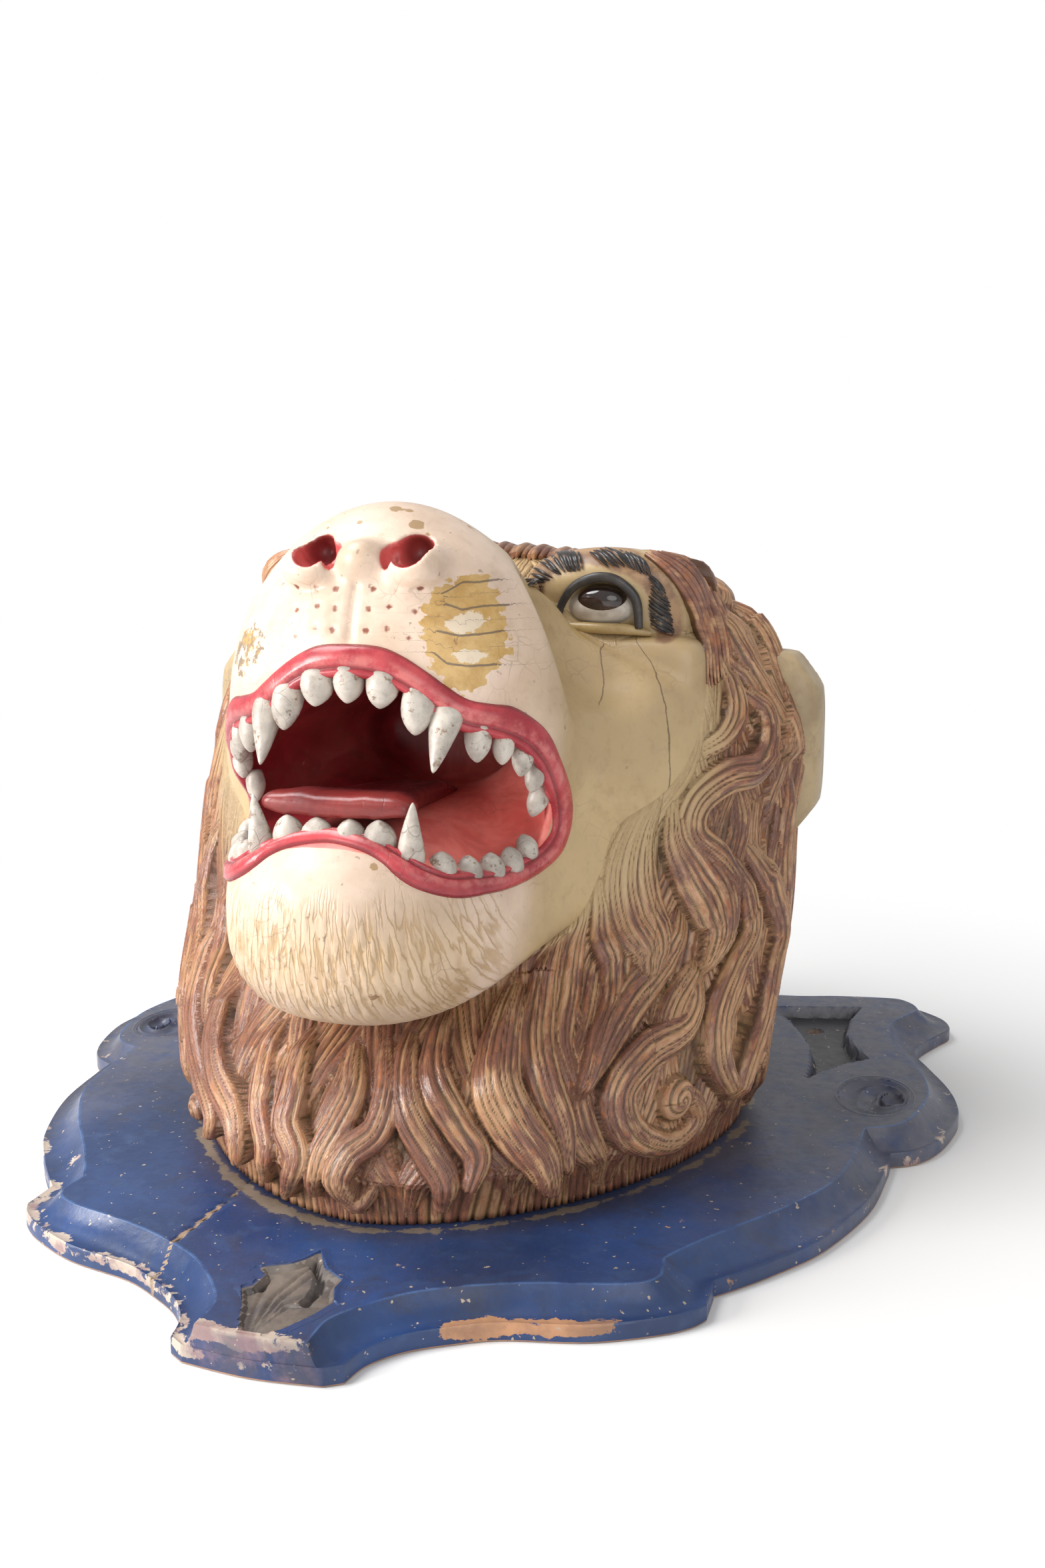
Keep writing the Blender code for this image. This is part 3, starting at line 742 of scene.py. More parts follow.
def face_masks(points):
    x, y, z = points.T
    wiggle = 1.2 * np.sin(z * 0.9) + 0.9 * np.sin(z * 2.1 + x) + 0.8 * np.sin(x * 1.3)
    beyond = 1.2 * np.maximum(0, y + 100)
    patch = outline_distance(points[:, (0, 2)], PATCH_EDGE) + wiggle + beyond
    grey = outline_distance(points[:, (0, 2)], GREY_PATCH) + wiggle + beyond
    cracks = np.stack([line_offset(points, line) for line in CRACKS])
    crack = np.take_along_axis(cracks, np.abs(cracks).argmin(0)[None], 0)[0]
    crack = crack + np.where(crack < 0, -2, 2) * np.maximum(0, -38 - y)
    strokes = []
    for line in WHISKER_STROKES:
        ring = np.array(line, float)
        past = np.maximum(0, x - ring[-1, 0]) + np.maximum(0, ring[0, 0] - x) + beyond
        offset = z - np.interp(x, ring[:, 0], ring[:, 1])
        strokes.append(np.where(offset < 0, -1, 1) * np.hypot(offset, past))
    strokes = np.stack(strokes)
    strokes = np.take_along_axis(strokes, np.abs(strokes).argmin(0)[None], 0)[0]
    island = np.minimum(
        np.hypot((x - 52 - 0.3 * (z - 312)) / 7.5, (z - 312.5) / 5.2),
        np.hypot((x - 55) / 6.5, (z - 297) / 3.4),
    )
    losses = np.min(
        [np.linalg.norm(points - np.array(spot[:3]), axis=1) - spot[3] for spot in PAINT_LOSSES], axis=0
    )
    ahead = held((-y - 62 - 0.35 * np.maximum(0, 230 - z)) / 40)
    muzzle = ahead * held(1.25 - np.abs(x) / 105)
    chin = held((205 - z) / 40) * held((-y - 110) / 40)
    beard = held((194 - z + 4 * np.sin(x * 0.23)) / 16)
    return {
        "patch": patch,
        "grey_patch": grey,
        "dots": distance_to_points(points, WHISKERS),
        "strokes": strokes,
        "island": (island - 1) * 7 + wiggle * 0.5 + beyond,
        "losses": losses,
        "chin": chin,
        # where the mouth's red is painted lighter: painted light on the inner right cheek
        "right_cheek": held((x + 30) / 55) * held((268 - z) / 35),
        "crack": crack,
        "sill": np.maximum(np.abs(z - 301.5) - 4.5, np.abs(np.abs(x) - 80) - 33) + np.where(y < -12, 50, 0),
        "nostril": nostril_hollow(mirrored_over(points)),
        "mouth": mouth_hollow(points),
        "muzzle": held(np.maximum(muzzle, 0.75 * chin) * 1.3),
        "flutes": beard_flutes(points),
        "beard": beard * held((z - 122) / 14) * held((-y - 118) / 25),
        "brow": line_distance(eye_side(points)[:, (0, 2)], BROW_LINE) + np.where(y < -25, 50, 0),
    }


def face_paint():
    material, tree, shader, place = start_material("cream_painted_face")
    wander = swing(noise(place, 120, 5, 0.7), 5.0)
    cloud = noise(place, 20, 6, 0.65)
    ochre = two_tone(place, (9, 4), (0.4, 0.65), (0.52, 0.385, 0.205), (0.43, 0.31, 0.165))
    ochre = tint(ochre, ramp(cloud, 0.5, 0.7), 0.5, (0.36, 0.24, 0.115))
    white = two_tone(place, (24, 5), (0.4, 0.7), (0.7, 0.545, 0.435), (0.59, 0.44, 0.325))
    colour = mix_colour(ramp(mask(tree, "muzzle"), 0.15, 0.8), ochre, white)
    grime = times(ramp(noise(place, 55, 8, 0.75), 0.5, 0.72), 0.35)
    colour = mix_colour(grime, colour, (0.42, 0.3, 0.19))
    yellow = times(mask(tree, "chin"), ramp(cloud, 0.3, 0.6))
    colour = tint(colour, yellow, 0.62, (0.6, 0.43, 0.25))
    flute = ramp(mask(tree, "flutes"), 0.1, 0.8)
    colour = tint(colour, flute, 0.6, (0.46, 0.29, 0.13))
    across, _, up = axes_of(place)
    fan = plus(times(up, -4.5), 1.85)
    spread = plus(math_node("DIVIDE", across, fan), times(wander, 0.0004))
    hair = node(tree, "ShaderNodeCombineXYZ", {0: times(spread, 330.0), 2: times(up, 42.0)}).outputs[0]
    stroke = noise(hair, 1.0, 2, 0.4, 0.25)
    stroke = size_of(minus(stroke, 0.5))
    stroke = times(ramp(stroke, 0.07, 0.0), mask(tree, "beard"))
    colour = tint(colour, stroke, 0.7, (0.43, 0.27, 0.12))
    speckle = times(ramp(noise(place, 210, 2, 0.5), 0.7, 0.735), mask(tree, "muzzle"))
    colour = tint(colour, speckle, 0.6, (0.22, 0.14, 0.09))
    brow = plus(mask(tree, "brow"), wander)
    browned = two_tone(place, (70, 5, 0.7), (0.42, 0.6), (0.36, 0.21, 0.11), (0.2, 0.1, 0.06))
    colour = tint(colour, ramp(brow, 8.0, 5.0), 0.85, browned)
    sill = ramp(plus(mask(tree, "sill"), wander), 1.5, -1.5)
    colour = tint(colour, sill, 0.7, (0.4, 0.27, 0.1))
    patch = plus(mask(tree, "patch"), wander)
    on_patch = minus(1.0, ramp(patch, -0.3, 0.3))
    island = ramp(plus(mask(tree, "island"), times(wander, 2.4)), 0.3, -0.3)
    worn = two_tone(place, (75, 5, 0.7), (0.35, 0.6), (0.46, 0.27, 0.075), (0.57, 0.37, 0.14))
    worn = tint(worn, island, 0.85, (0.7, 0.6, 0.47))
    colour = mix_colour(on_patch, colour, worn)
    grey = plus(mask(tree, "grey_patch"), times(wander, 1.6))
    mottled = two_tone(place, (90, 6, 0.75), (0.45, 0.55), (0.46, 0.29, 0.1), (0.24, 0.18, 0.13))
    mottled = two_tone(place, (150, 4, 0.7), (0.5, 0.56), mottled, white)
    colour = mix_colour(minus(1.0, ramp(grey, -0.3, 0.3)), colour, mottled)
    loss = plus(mask(tree, "losses"), wander)
    colour = mix_colour(ramp(loss, 0.25, -0.25), colour, (0.36, 0.235, 0.12))
    strokes = plus(mask(tree, "strokes"), times(wander, 0.3))
    colour = tint(colour, near_zero(strokes, 0.55), 0.8, (0.09, 0.07, 0.055))
    dot_edge = plus(mask(tree, "dots"), times(wander, 0.45))
    colour = mix_colour(ramp(dot_edge, 2.2, 1.3), colour, (0.24, 0.075, 0.045))
    crack = plus(mask(tree, "crack"), times(wander, 0.45))
    split = near_zero(crack, 0.32)
    colour = tint(colour, split, 0.8, (0.12, 0.075, 0.045))
    # The mouth's red comes in a darker copy, painted shade on the roof and in the throat, and a lighter copy,
    # painted light on the inner right cheek.
    gouge = noise(place, 42, 5, 0.65, 0.8)
    deep = mix_colour(ramp(gouge, 0.35, 0.65), (0.3, 0.022, 0.03), (0.19, 0.012, 0.016))
    lit_mouth_red = mix_colour(ramp(gouge, 0.35, 0.65), (0.92, 0.26, 0.22), (0.8, 0.17, 0.145))
    red = mix_colour(mask(tree, "right_cheek"), deep, lit_mouth_red)
    nose_red = mix_colour(ramp(gouge, 0.4, 0.65), (0.66, 0.13, 0.125), (0.47, 0.055, 0.055))
    # Further into each nostril the red turns near black: painted shade in the hole.
    nose_red = mix_colour(ramp(axes_of(place)[1], -0.124, -0.113), nose_red, (0.2, 0.018, 0.02))
    nostril = plus(mask(tree, "nostril"), times(wander, 0.12))
    colour = mix_colour(ramp(nostril, 0.9, 0.3), colour, nose_red)
    mouth = plus(mask(tree, "mouth"), times(wander, 0.1))
    colour = mix_colour(ramp(mouth, 5.0, 4.4), colour, red)
    group = paint_over(
        tree, shader, place, colour, (0.30, 0.17, 0.09), (0.20, 0.13, 0.08), 0.42, 0.3, 0.38, 0.36, 0.5
    )
    feed(times(stroke, -1.1), group.inputs["Height"])
    return material


def red_paint(name, light, dark, rough):
    material, tree, shader, place = start_material(name)
    colour = two_tone(place, (45, 5, 0.65), (0.35, 0.65), dark, light)
    axes = axes_of(place)
    # Behind the tongue's front edge the red is darkened: painted shade deep in the mouth.
    colour = mix_colour(ramp(axes[1], -0.166, -0.14), colour, (0.135, 0.01, 0.013))
    paint_over(
        tree, shader, place, colour, (0.55, 0.33, 0.24), (0.07, 0.015, 0.015), 0.35, 0.45, 0.35, rough,
        0.5,
    )
    return material


FACE_PAINT = face_paint()
TONGUE_RED = red_paint("red_painted_tongue", (0.235, 0.030, 0.026), (0.15, 0.016, 0.016), 0.3)
face_shape = close_inside(face_points, face_quads.tolist(), face_masks(face_points))
face = make_piece(
    "carved_face", *face_shape[:2], FACE_PAINT, "painted_carved_wood", face_shape[2], recalc=False
)
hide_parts("lion_head")
print(face.name, triangle_count(face), "triangles")

# %% [markdown]
# ## The mane
# The mane is a broad bell of hair that stands on the board. It is one mass of wood: a gouge cut long waved
# locks into it, and each lock has a bundle of fine ridges with sharp grooves between. The outer level of
# the mane is a smooth surface with an angle round it and a run up it, so each lock is a line in those two
# numbers, and the carving is a height over that surface.

# %% The mane's surface
LEVELS = smooth_line(MANE_LEVELS[1:], 90)
RUN = np.r_[0, np.cumsum(np.hypot(np.diff(LEVELS[:, 0]), np.diff(LEVELS[:, 1])))]
FULL_RUN = RUN[-1]


def mane_surface(angle, run):
    """Point of the mane at an angle (0 under the chin, 90 at the lion's left) and a run from the foot."""
    z, half_width, half_depth, centre_y, power = (np.interp(run, RUN, LEVELS[:, k]) for k in range(5))
    turn = np.radians(angle)
    across, along = np.sin(turn), np.cos(turn)
    reach = (np.abs(across / half_width) ** power + np.abs(along / half_depth) ** power) ** (-1 / power)
    shrink = held((FULL_RUN - run) / 40)
    reach = reach * np.where(run > FULL_RUN - 40, shrink, 1)
    return np.stack([3 + across * reach, centre_y - along * reach, z], -1)


def mane_normal(angle, run):
    east = mane_surface(angle + 0.5, run) - mane_surface(angle - 0.5, run)
    north = mane_surface(angle, run + 2) - mane_surface(angle, run - 2)
    return unit(np.cross(east, north))


print("run from the foot to the crown, mm:", round(float(FULL_RUN), 1))

# %% [markdown]
# The table gives the locks that can be seen at the front and on the lion's left: how far each one lifts, then
# its angle, its run from the foot and its half width at each step from root to tip. Rows of plainer hanging
# locks, made by a loop, cover the rest and overlap like tiles.

# %% Lines of the locks
LOCKS = (
    (5.0, (
        (23.7, 118, 6), (21, 90, 11.4), (21, 72, 13.2), (24.3, 53, 12.6), (28.3, 35, 10.7),
        (30.1, 14, 5),
    )),
    (3.5, (
        (29.5, 140, 4.8), (27.8, 111, 8.2), (26.8, 92, 10.1), (28.5, 73, 9.3), (31.8, 50, 7.4),
        (32.8, 22, 2.7),
    )),
    (1.5, (
        (33, 160, 4.2), (33.3, 135, 6.2), (32.9, 113, 7.5), (31.4, 94, 6.8), (32.6, 78, 4.7),
        (35.5, 58, 1.7),
    )),
    (3.0, (
        (35.8, 166, 4.2), (37.9, 138, 8.3), (41, 121, 9.3), (41.1, 103, 8.9), (37.8, 87, 7.5),
        (33.8, 62, 2),
    )),
    (4.0, (
        (46.6, 208, 4), (43.1, 185, 10.6), (42.1, 163, 16.1), (44.1, 143, 16.7), (47.3, 126, 14),
        (46.9, 108, 4.9),
    )),
    (3.0, (
        (54, 145, 5), (50.6, 122, 10.5), (44.2, 105, 11.7), (39, 87, 9.5), (34.9, 62, 2),
    )),
    (4.0, (
        (59, 118, 4.3), (55.2, 88, 9.2), (46.5, 78, 11.7), (41.4, 61, 11.6), (44.5, 38, 10.4),
        (53.7, 23, 8.6), (60, 33, 7.2), (57, 49, 5.7), (52, 50, 3.5),
    )),
    (5.0, (
        (50.3, 203, 4.3), (50.9, 181, 9.9), (55.4, 163, 16.4), (60.2, 145, 18), (61.6, 127, 13),
        (57.6, 108, 2),
    )),
    (5.0, (
        (66.6, 266, 5.2), (72.7, 242, 9.1), (71.6, 222, 9.8), (67, 210, 9.7), (60, 208, 10.2),
        (54.2, 197, 10), (53.8, 180, 9.3), (59.6, 165, 8.7), (66.7, 142, 3.7),
    )),
    (4.0, (
        (54, 222, 4.3), (60.5, 231, 7.3), (65, 244, 8.2), (65.5, 259, 6.7), (63, 276, 3),
    )),
    (5.0, (
        (66, 352, 4), (71.7, 325, 8.5), (69.9, 296, 9.9), (71.2, 273, 9.1), (74.9, 253, 8.4),
        (79, 233, 7.7), (79.8, 208, 4.6),
    )),
    (3.0, (
        (64.5, 312, 4.5), (64.1, 285, 7.5), (69, 269, 8.3), (72.4, 250, 7.6), (73.9, 227, 6.8),
        (69.3, 208, 3),
    )),
    (3.0, (
        (69.5, 172, 5.2), (76.2, 143, 9.8), (82, 118, 10), (80, 99, 9.1), (78.2, 75, 9.8),
        (72.7, 51, 10.4), (70, 34, 6.4),
    )),
    (2.0, (
        (65.1, 168, 3.7), (69.7, 140, 8.1), (70.5, 123, 8.9), (66.4, 108, 9.5), (62.5, 87, 10.8),
        (63.7, 63, 10.1), (70.1, 38, 5),
    )),
    (2.5, (
        (59, 118, 5), (53.8, 99, 10.6), (50.9, 82, 10.4), (47.5, 72, 4.1),
    )),
    (3.5, (
        (11.2, 110, 4.1), (10.5, 87, 8), (11.8, 73, 9.3), (15.6, 55, 8.6), (18.6, 40, 7.9),
        (17, 20, 3.3),
    )),
    (4.5, (
        (5.2, 101, 4.1), (6.3, 80, 7.3), (8.3, 61, 8.6), (11.7, 44, 8.6), (14.1, 28, 8), (13, 7, 2.7),
    )),
    (4.0, (
        (0.9, 96, 4.1), (4, 74, 7.3), (3.7, 54, 8.6), (-0.1, 42, 8.7), (-1.7, 27, 8.1), (0.8, 13, 5.4),
        (4, 18, 2.7),
    )),
    (3.0, (
        (-4.4, 94, 4.1), (-1.4, 73, 7.4), (-2.4, 55, 8.7), (-5, 37, 7.4), (-6.3, 10, 2.8),
    )),
    (4.5, (
        (-12.6, 96, 4.9), (-11.6, 68, 8.2), (-11.5, 50, 9.6), (-8.4, 34, 8.2), (-11.9, 6, 2.8),
    )),
    (3.0, (
        (-20.8, 96, 5), (-18.9, 70, 7.7), (-18, 52, 8.4), (-15.5, 32, 7), (-17.3, 7, 2.9),
    )),
    (5.0, (
        (-36.3, 103, 6), (-32.5, 72, 9.5), (-28.5, 56, 10.9), (-22.2, 42, 9.2), (-19.6, 18, 2.8),
    )),
    (4.0, (
        (-52, 122, 5.5), (-47.4, 87, 9.3), (-40.8, 65, 9.8), (-34.5, 50, 8.9), (-29.3, 36, 7.3),
        (-31, 20, 3),
    )),
    (2.5, (
        (-46.5, 146, 4.6), (-45.8, 115, 6.9), (-44, 93, 6.9), (-38.1, 74, 2.2),
    )),
    (4.0, (
        (-54.6, 178, 4), (-58.1, 144, 8), (-57.8, 118, 9.6), (-53.7, 88, 3.9),
    )),
)
print("main locks:", len(LOCKS))

# %% [markdown]
# A lock swells from its root to a rounded crown and thins to its tip, and a gouge cut ridges along it. The
# function lifts the points of the mane that lie near one line. Each lock could be a mesh laid on top, but
# the real ones are one wood with the mane and share its grooves.

# %% Carving of one lock
RIDGE_PITCH = 3.9


def turn_between(a, b):
    return (a - b + 180) % 360 - 180


def raise_skin(skin, spots, height, **masks):
    """Writes the height and the masks of a lock wherever it is higher than what is there."""
    taller = height > skin["height"][spots]
    chosen = spots[taller]
    skin["height"][chosen] = height[taller]
    for key, values in masks.items():
        skin[key][chosen] = values[taller]


def carve_lock(skin, lift, line, flare=0.0, fullest=9.0):
    """Raises one lock on the skin wherever it is higher than what is there."""
    seen = -72 < line[0][0] < 100
    length = sum(math.hypot((b[0] - a[0]) * 2.9, b[1] - a[1]) for a, b in zip(line, line[1:]))
    count = max(14, int(length / 2.2))
    angle, run, half = smooth_line(line, count).T
    half = np.maximum(half, 1.2)
    widest = half.max()
    metric = np.linalg.norm(mane_surface(angle + 0.5, run) - mane_surface(angle - 0.5, run), axis=1)
    east, north = np.gradient(angle) * metric, np.gradient(run)
    step = np.maximum(np.hypot(east, north), 1e-6)
    east, north = east / step, north / step
    reach = (np.ptp(angle) / 2 + (widest + 2) / max(metric.min(), 0.8)) * 1.05
    middle = (angle.max() + angle.min()) / 2
    near = np.abs(turn_between(skin["angle"], middle)) < reach
    near &= (skin["run"] > run.min() - widest - 2) & (skin["run"] < run.max() + widest + 2)
    spots = np.where(near)[0]
    if not len(spots):
        return
    spacing = (RIDGE_PITCH if seen else 2 * RIDGE_PITCH) * rng.uniform(0.85, 1.15)
    ridges = max(3, round(2 * widest / spacing))
    number = float(rng.uniform(0, 90))
    bend, shift = rng.uniform(0.15, 0.4), rng.uniform(0, 6)
    tones = held(rng.normal(0.5, 0.25, ridges + 2))
    body = float(np.clip(0.62 * widest, 3.0, fullest))
    for part in np.array_split(spots, max(1, len(spots) // 6000)):
        dx = turn_between(skin["angle"][part, None], angle) * metric
        dy = skin["run"][part, None] - run
        k = np.argmin(dx**2 + dy**2, 1)
        rows = np.arange(len(part))
        dx, dy = dx[rows, k], dy[rows, k]
        forward = dx * east[k] + dy * north[k]
        across = (dx * north[k] - dy * east[k]) / half[k]
        share = (k + np.clip(forward / step[k], -1.5, 1.5)) / (count - 1)
        inside = (np.abs(across) < 1) & (share > -0.01) & (share < 1.01)
        root = held(share / 0.16) ** 0.7
        tip = held((1.01 - share) / 0.07) ** 0.5
        crown = np.sqrt(held(1 - across**2)) ** 1.1
        phase = (across + 1) / 2 * ridges + bend * np.sin(share * 7 + shift) * crown
        phase = phase + 0.22 * np.sin(2.2 * phase + shift + share * 2) * crown
        ridge = np.abs(np.sin(math.pi * phase))
        pitch = 2 * half[k] / ridges
        own = tones[np.clip(phase.astype(int), 0, ridges)]
        cut = np.clip(0.36 * pitch, 0.2, 1.9) * (0.35 + 0.65 * root) * (0.75 + 0.5 * own)
        mound = (lift + body * crown) * root * tip
        height = mound + flare * held(share) ** 4 * tip + cut * ridge**0.8 - 1.0
        # The tone mixes a random tone per ridge with one that rises across the lock, darkening one side of
        # each lock under the glaze: painted shade.
        raise_skin(
            skin, part, np.where(inside, height, -99), ridge=ridge, flank=np.sin(2 * math.pi * phase),
            tone=0.5 * own + 0.5 * (0.5 + 0.5 * across), strand=phase + number, travel=share * length,
            valley=1 - crown,
        )


def carve_curl(skin, lift, spot, radius, spin):
    """Raises a snail shell, where the end of a lock winds in to its middle."""
    angle, run = spot
    metric = np.linalg.norm(mane_surface(angle + 0.5, run) - mane_surface(angle - 0.5, run))
    dx = turn_between(skin["angle"], angle) * metric
    dy = skin["run"] - run
    reach = np.hypot(dx, dy) / radius
    near = np.where(reach < 1)[0]
    reach = reach[near]
    turn = np.arctan2(dy[near], dx[near]) / (2 * math.pi)
    wind = radius / 4.2 * reach**0.85 + spin * turn
    ridge = np.abs(np.sin(math.pi * wind))
    crown = np.sqrt(1 - reach**2)
    raise_skin(
        skin, near, lift + 7.0 * crown + 1.4 * ridge**0.8, ridge=ridge, flank=np.sin(2 * math.pi * wind),
        tone=np.full(len(near), 0.35), strand=wind, travel=40 * turn, valley=1 - crown,
    )


print("ridges on a full lock:", round(2 * 16 / RIDGE_PITCH))

# %% [markdown]
# Rows of plain locks come first, then a crown that runs to the back, then the main locks, which stand
# higher and cover the rows. The curls are where the ends of some locks wind in.

# %% The list of all locks
CURLS = (
    (4.5, (53.6, 50), 12.0, 2), (2.0, (84, 44), 10.0, -2), (3.0, (-38, 31), 9.5, 2),
    (1.5, (101, 60), 13.0, 2), (1.5, (-62, 70), 12.0, -2), (0.5, (72, 236), 11.0, 2),
)
all_locks = []
ROWS = ((95, 112, 15.0), (150, 118, 13.5), (205, 118, 12.5), (262, 120, 12.5), (322, 125, 13.0))
for row, (top, length, half) in enumerate(ROWS):
    count = int(round(1120 / (half * 1.75)))
    for k in range(count):
        angle = -180 + 360 * (k + 0.5 * (row % 2) + rng.uniform(-0.2, 0.2)) / count
        sway = rng.uniform(2.5, 4.5) * (1 if (k + row) % 2 else -1)
        lean = rng.uniform(-2, 2)
        drop = length * rng.uniform(0.88, 1.12)
        high = top + rng.uniform(-4, 4)
        line = [
            (angle + lean * t + sway * math.sin(t * 2 * math.pi * 0.9 + 0.4), max(6, high - drop * t),
             half * (0.45 + 1.0 * math.sin(math.pi * min(1, t + 0.18)) ** 0.8) * (0.75 if t < 0.9 else 0.35))
            for t in np.linspace(0, 1, 6)
        ]
        seen = -62 < angle < 86
        all_locks.append(
            (rng.uniform(-2.5, 0.0) if seen else rng.uniform(-1, 1.5), line, 0.0, 5.0 if seen else 8.0)
        )
CROWN_LOCKS = 44
for k in range(CROWN_LOCKS):
    angle = -180 + 360 * k / CROWN_LOCKS
    line = [
        (angle + 9 * math.sin(t * 4 + k), 318 + (FULL_RUN - 330) * t, 12 * (1 - 0.8 * t))
        for t in np.linspace(1, 0, 6)
    ]
    all_locks.append((0.5, line, 0.0, 6.0))
for lift, line in LOCKS:
    rise = lift * 1.4 - 1.0 + (3.0 if line[1][0] > 60 else 0.0)
    all_locks.append((rise, line, 4.0 if line[-1][1] < 40 else 0.0, 9.0))
print("locks:", len(all_locks))

# %% [markdown]
# The carved mane is cut in four pieces: three of fine mesh, which the eye meets first, and a coarser one at
# the back. Where the mane runs up to the cheek, its level melts into the face with a wide fillet, so that
# the last ridges fade out on the painted cheek as they do on the real head.

# %% Build the carved mane
SINK = 10.5
FILLET = 11.0
MANE_FOOT = 19.4
BARE_EDGE = (
    (60, 348), (104, 341), (116, 330), (126, 319), (133, 308), (138, 293), (142, 275), (137, 254), (125, 233),
    (107, 201), (86, 171), (60, 200),
)


def melted(points):
    return blend(mane_form(points) + SINK, face_form(points), FILLET)


def carved_mane(first, last, angle_step, run_step):
    """Points, quads and masks of the mane between two angles."""
    angles = np.linspace(first, last, int(round((last - first) / angle_step)) + 1)
    runs = np.r_[0, np.linspace(2.5, FULL_RUN - 1, int(FULL_RUN / run_step))]
    grid_angle, grid_run = np.meshgrid(angles, runs)
    shape = grid_angle.shape
    skin = {"angle": grid_angle.ravel(), "run": grid_run.ravel()}
    strand = (0.66 if angle_step < 0.5 else 0.33) * skin["angle"]
    strand += 0.8 * np.sin(skin["run"] * 0.045 + skin["angle"] * 0.13)
    strand += 0.9 * np.sin(skin["angle"] * 0.21)
    skin["ridge"] = np.abs(np.sin(math.pi * strand))
    skin["flank"] = np.sin(2 * math.pi * strand)
    skin["tone"] = 0.5 + 0.4 * np.sin(skin["angle"] * 0.9)
    skin["strand"] = strand.copy()
    skin["travel"] = skin["run"].copy()
    foot = held(1 - skin["run"] / 40)
    skin["height"] = 1.5 * skin["ridge"] ** 0.8 - 1.5 + 4.5 * foot
    skin["valley"] = 1 - 0.6 * (foot > 0.05)
    for lift, line, flare, fullest in all_locks:
        carve_lock(skin, lift, line, flare, fullest)
    for lift, spot, radius, spin in CURLS:
        carve_curl(skin, lift, spot, radius, spin)
    top = held((FULL_RUN - 25 - skin["run"]) / 20)
    relief = skin["height"] * top
    away = mane_normal(skin["angle"], skin["run"])
    points = mane_surface(skin["angle"], skin["run"]) - away * SINK
    gap = face_form(points)
    close = np.where(np.abs(gap) < FILLET + 2)[0]
    points[close] = settle(melted, points[close], 9.0)
    away[close] = unit(slope(melted, points[close]))
    folded = np.c_[np.abs(points[:, 0]), points[:, 2]]
    bare = outline_distance(folded, BARE_EDGE) + np.where(points[:, 1] > 75, 60, 0)
    fade = np.minimum(held((gap + 7) / 13), held((bare + 5) / 15))
    fade = np.maximum(fade, held((points[:, 1] - 60) / 18))
    sunk = held((-gap - 7) / 6) * (points[:, 1] < 70)
    points = points + away * (relief * fade - 3.0 * sunk)[:, None]
    points[: shape[1], 2] = MANE_FOOT
    points[:, 2] = np.maximum(points[:, 2], MANE_FOOT)
    quads = grid_quads(*shape)
    hidden = face_form(points) < -5
    used, quads = drop_unused(len(points), quads[~hidden[quads].all(1)])
    masks = {key: skin[key][used] for key in ("ridge", "flank", "tone", "valley", "strand", "travel")}
    masks["skirt"] = fade[used]
    return points[used], quads.tolist(), masks


def along_strands(tree, across, along):
    """A place that runs with the carved hair, so that a noise on it is drawn out into streaks."""
    hair = {0: times(mask(tree, "strand"), across), 1: times(mask(tree, "travel"), along)}
    return node(tree, "ShaderNodeCombineXYZ", hair).outputs[0]


def mane_paint():
    """Tan locks under a brown glaze, painted shade in grooves, valleys and on one side, fading to cream on
    the cheek.
    """
    material, tree, shader, place = start_material("varnished_tan_mane")
    soft = noise(place, 16, 5, 0.6)
    streaks = noise(along_strands(tree, 0.75, 0.045), 1.0, 4, 0.6, 0.5)
    fine = noise(along_strands(tree, 4.5, 0.12), 1.0, 3, 0.6, 0.3)
    ridge = mask(tree, "ridge")
    light = mix_colour(ramp(fine, 0.4, 0.6), (0.52, 0.305, 0.165), (0.4, 0.215, 0.115))
    olive = mix_colour(ramp(fine, 0.4, 0.6), (0.33, 0.2, 0.08), (0.24, 0.135, 0.055))
    colour = mix_colour(ramp(ridge, 0.25, 0.8), olive, light)
    glaze = mix_colour(ramp(fine, 0.4, 0.6), (0.225, 0.088, 0.058), (0.14, 0.055, 0.042))
    # The glaze falls by noise and tone, and also on one flank of each ridge and one side of each lock:
    # painted shade.
    side = times(mask(tree, "flank"), 0.16)
    side = plus(side, swing(streaks, 3.2))
    side = plus(side, swing(soft, 2.6))
    side = plus(side, swing(mask(tree, "tone"), 0.7))
    glaze_and_side_shade = times(ramp(side, -0.25, 0.28), ramp(mask(tree, "skirt"), 0.3, 0.8))
    colour = tint(colour, glaze_and_side_shade, 0.88, glaze)
    axes = axes_of(place)
    redder = ramp(axes[0], 0.12, -0.14)
    rust = times(ramp(ridge, 0.5, 0.95), ramp(noise(place, 90, 6, 0.75), 0.52, 0.6))
    colour = tint(colour, rust, 0.6, (0.42, 0.155, 0.06))
    colour = tint(colour, redder, 0.28, (0.33, 0.125, 0.065))
    # The grooves turn near black, partly varnish gathered there and partly painted shade; the valleys between
    # locks darken as painted shade.
    groove = ramp(ridge, 0.55, 0.1)
    colour = tint(colour, groove, 0.8, (0.085, 0.042, 0.022))
    valley = times(ramp(mask(tree, "valley"), 0.7, 1.0), 0.5)
    colour = mix_colour(valley, colour, (0.13, 0.075, 0.03))
    drawn = plus(mask(tree, "skirt"), times(minus(0.5, ridge), 0.45))
    cheek = minus(1.0, ramp(drawn, 0.2, 0.62))
    cream = mix_colour(ramp(soft, 0.4, 0.65), (0.5, 0.365, 0.195), (0.42, 0.295, 0.155))
    colour = tint(colour, cheek, 0.94, cream)
    group = paint_over(
        tree, shader, place, colour, (0.40, 0.22, 0.11), (0.05, 0.028, 0.02), 0.2, 0.25, 0.15, 0.24, 0.6
    )
    feed(times(fine, 1.2), group.inputs["Height"])
    return material


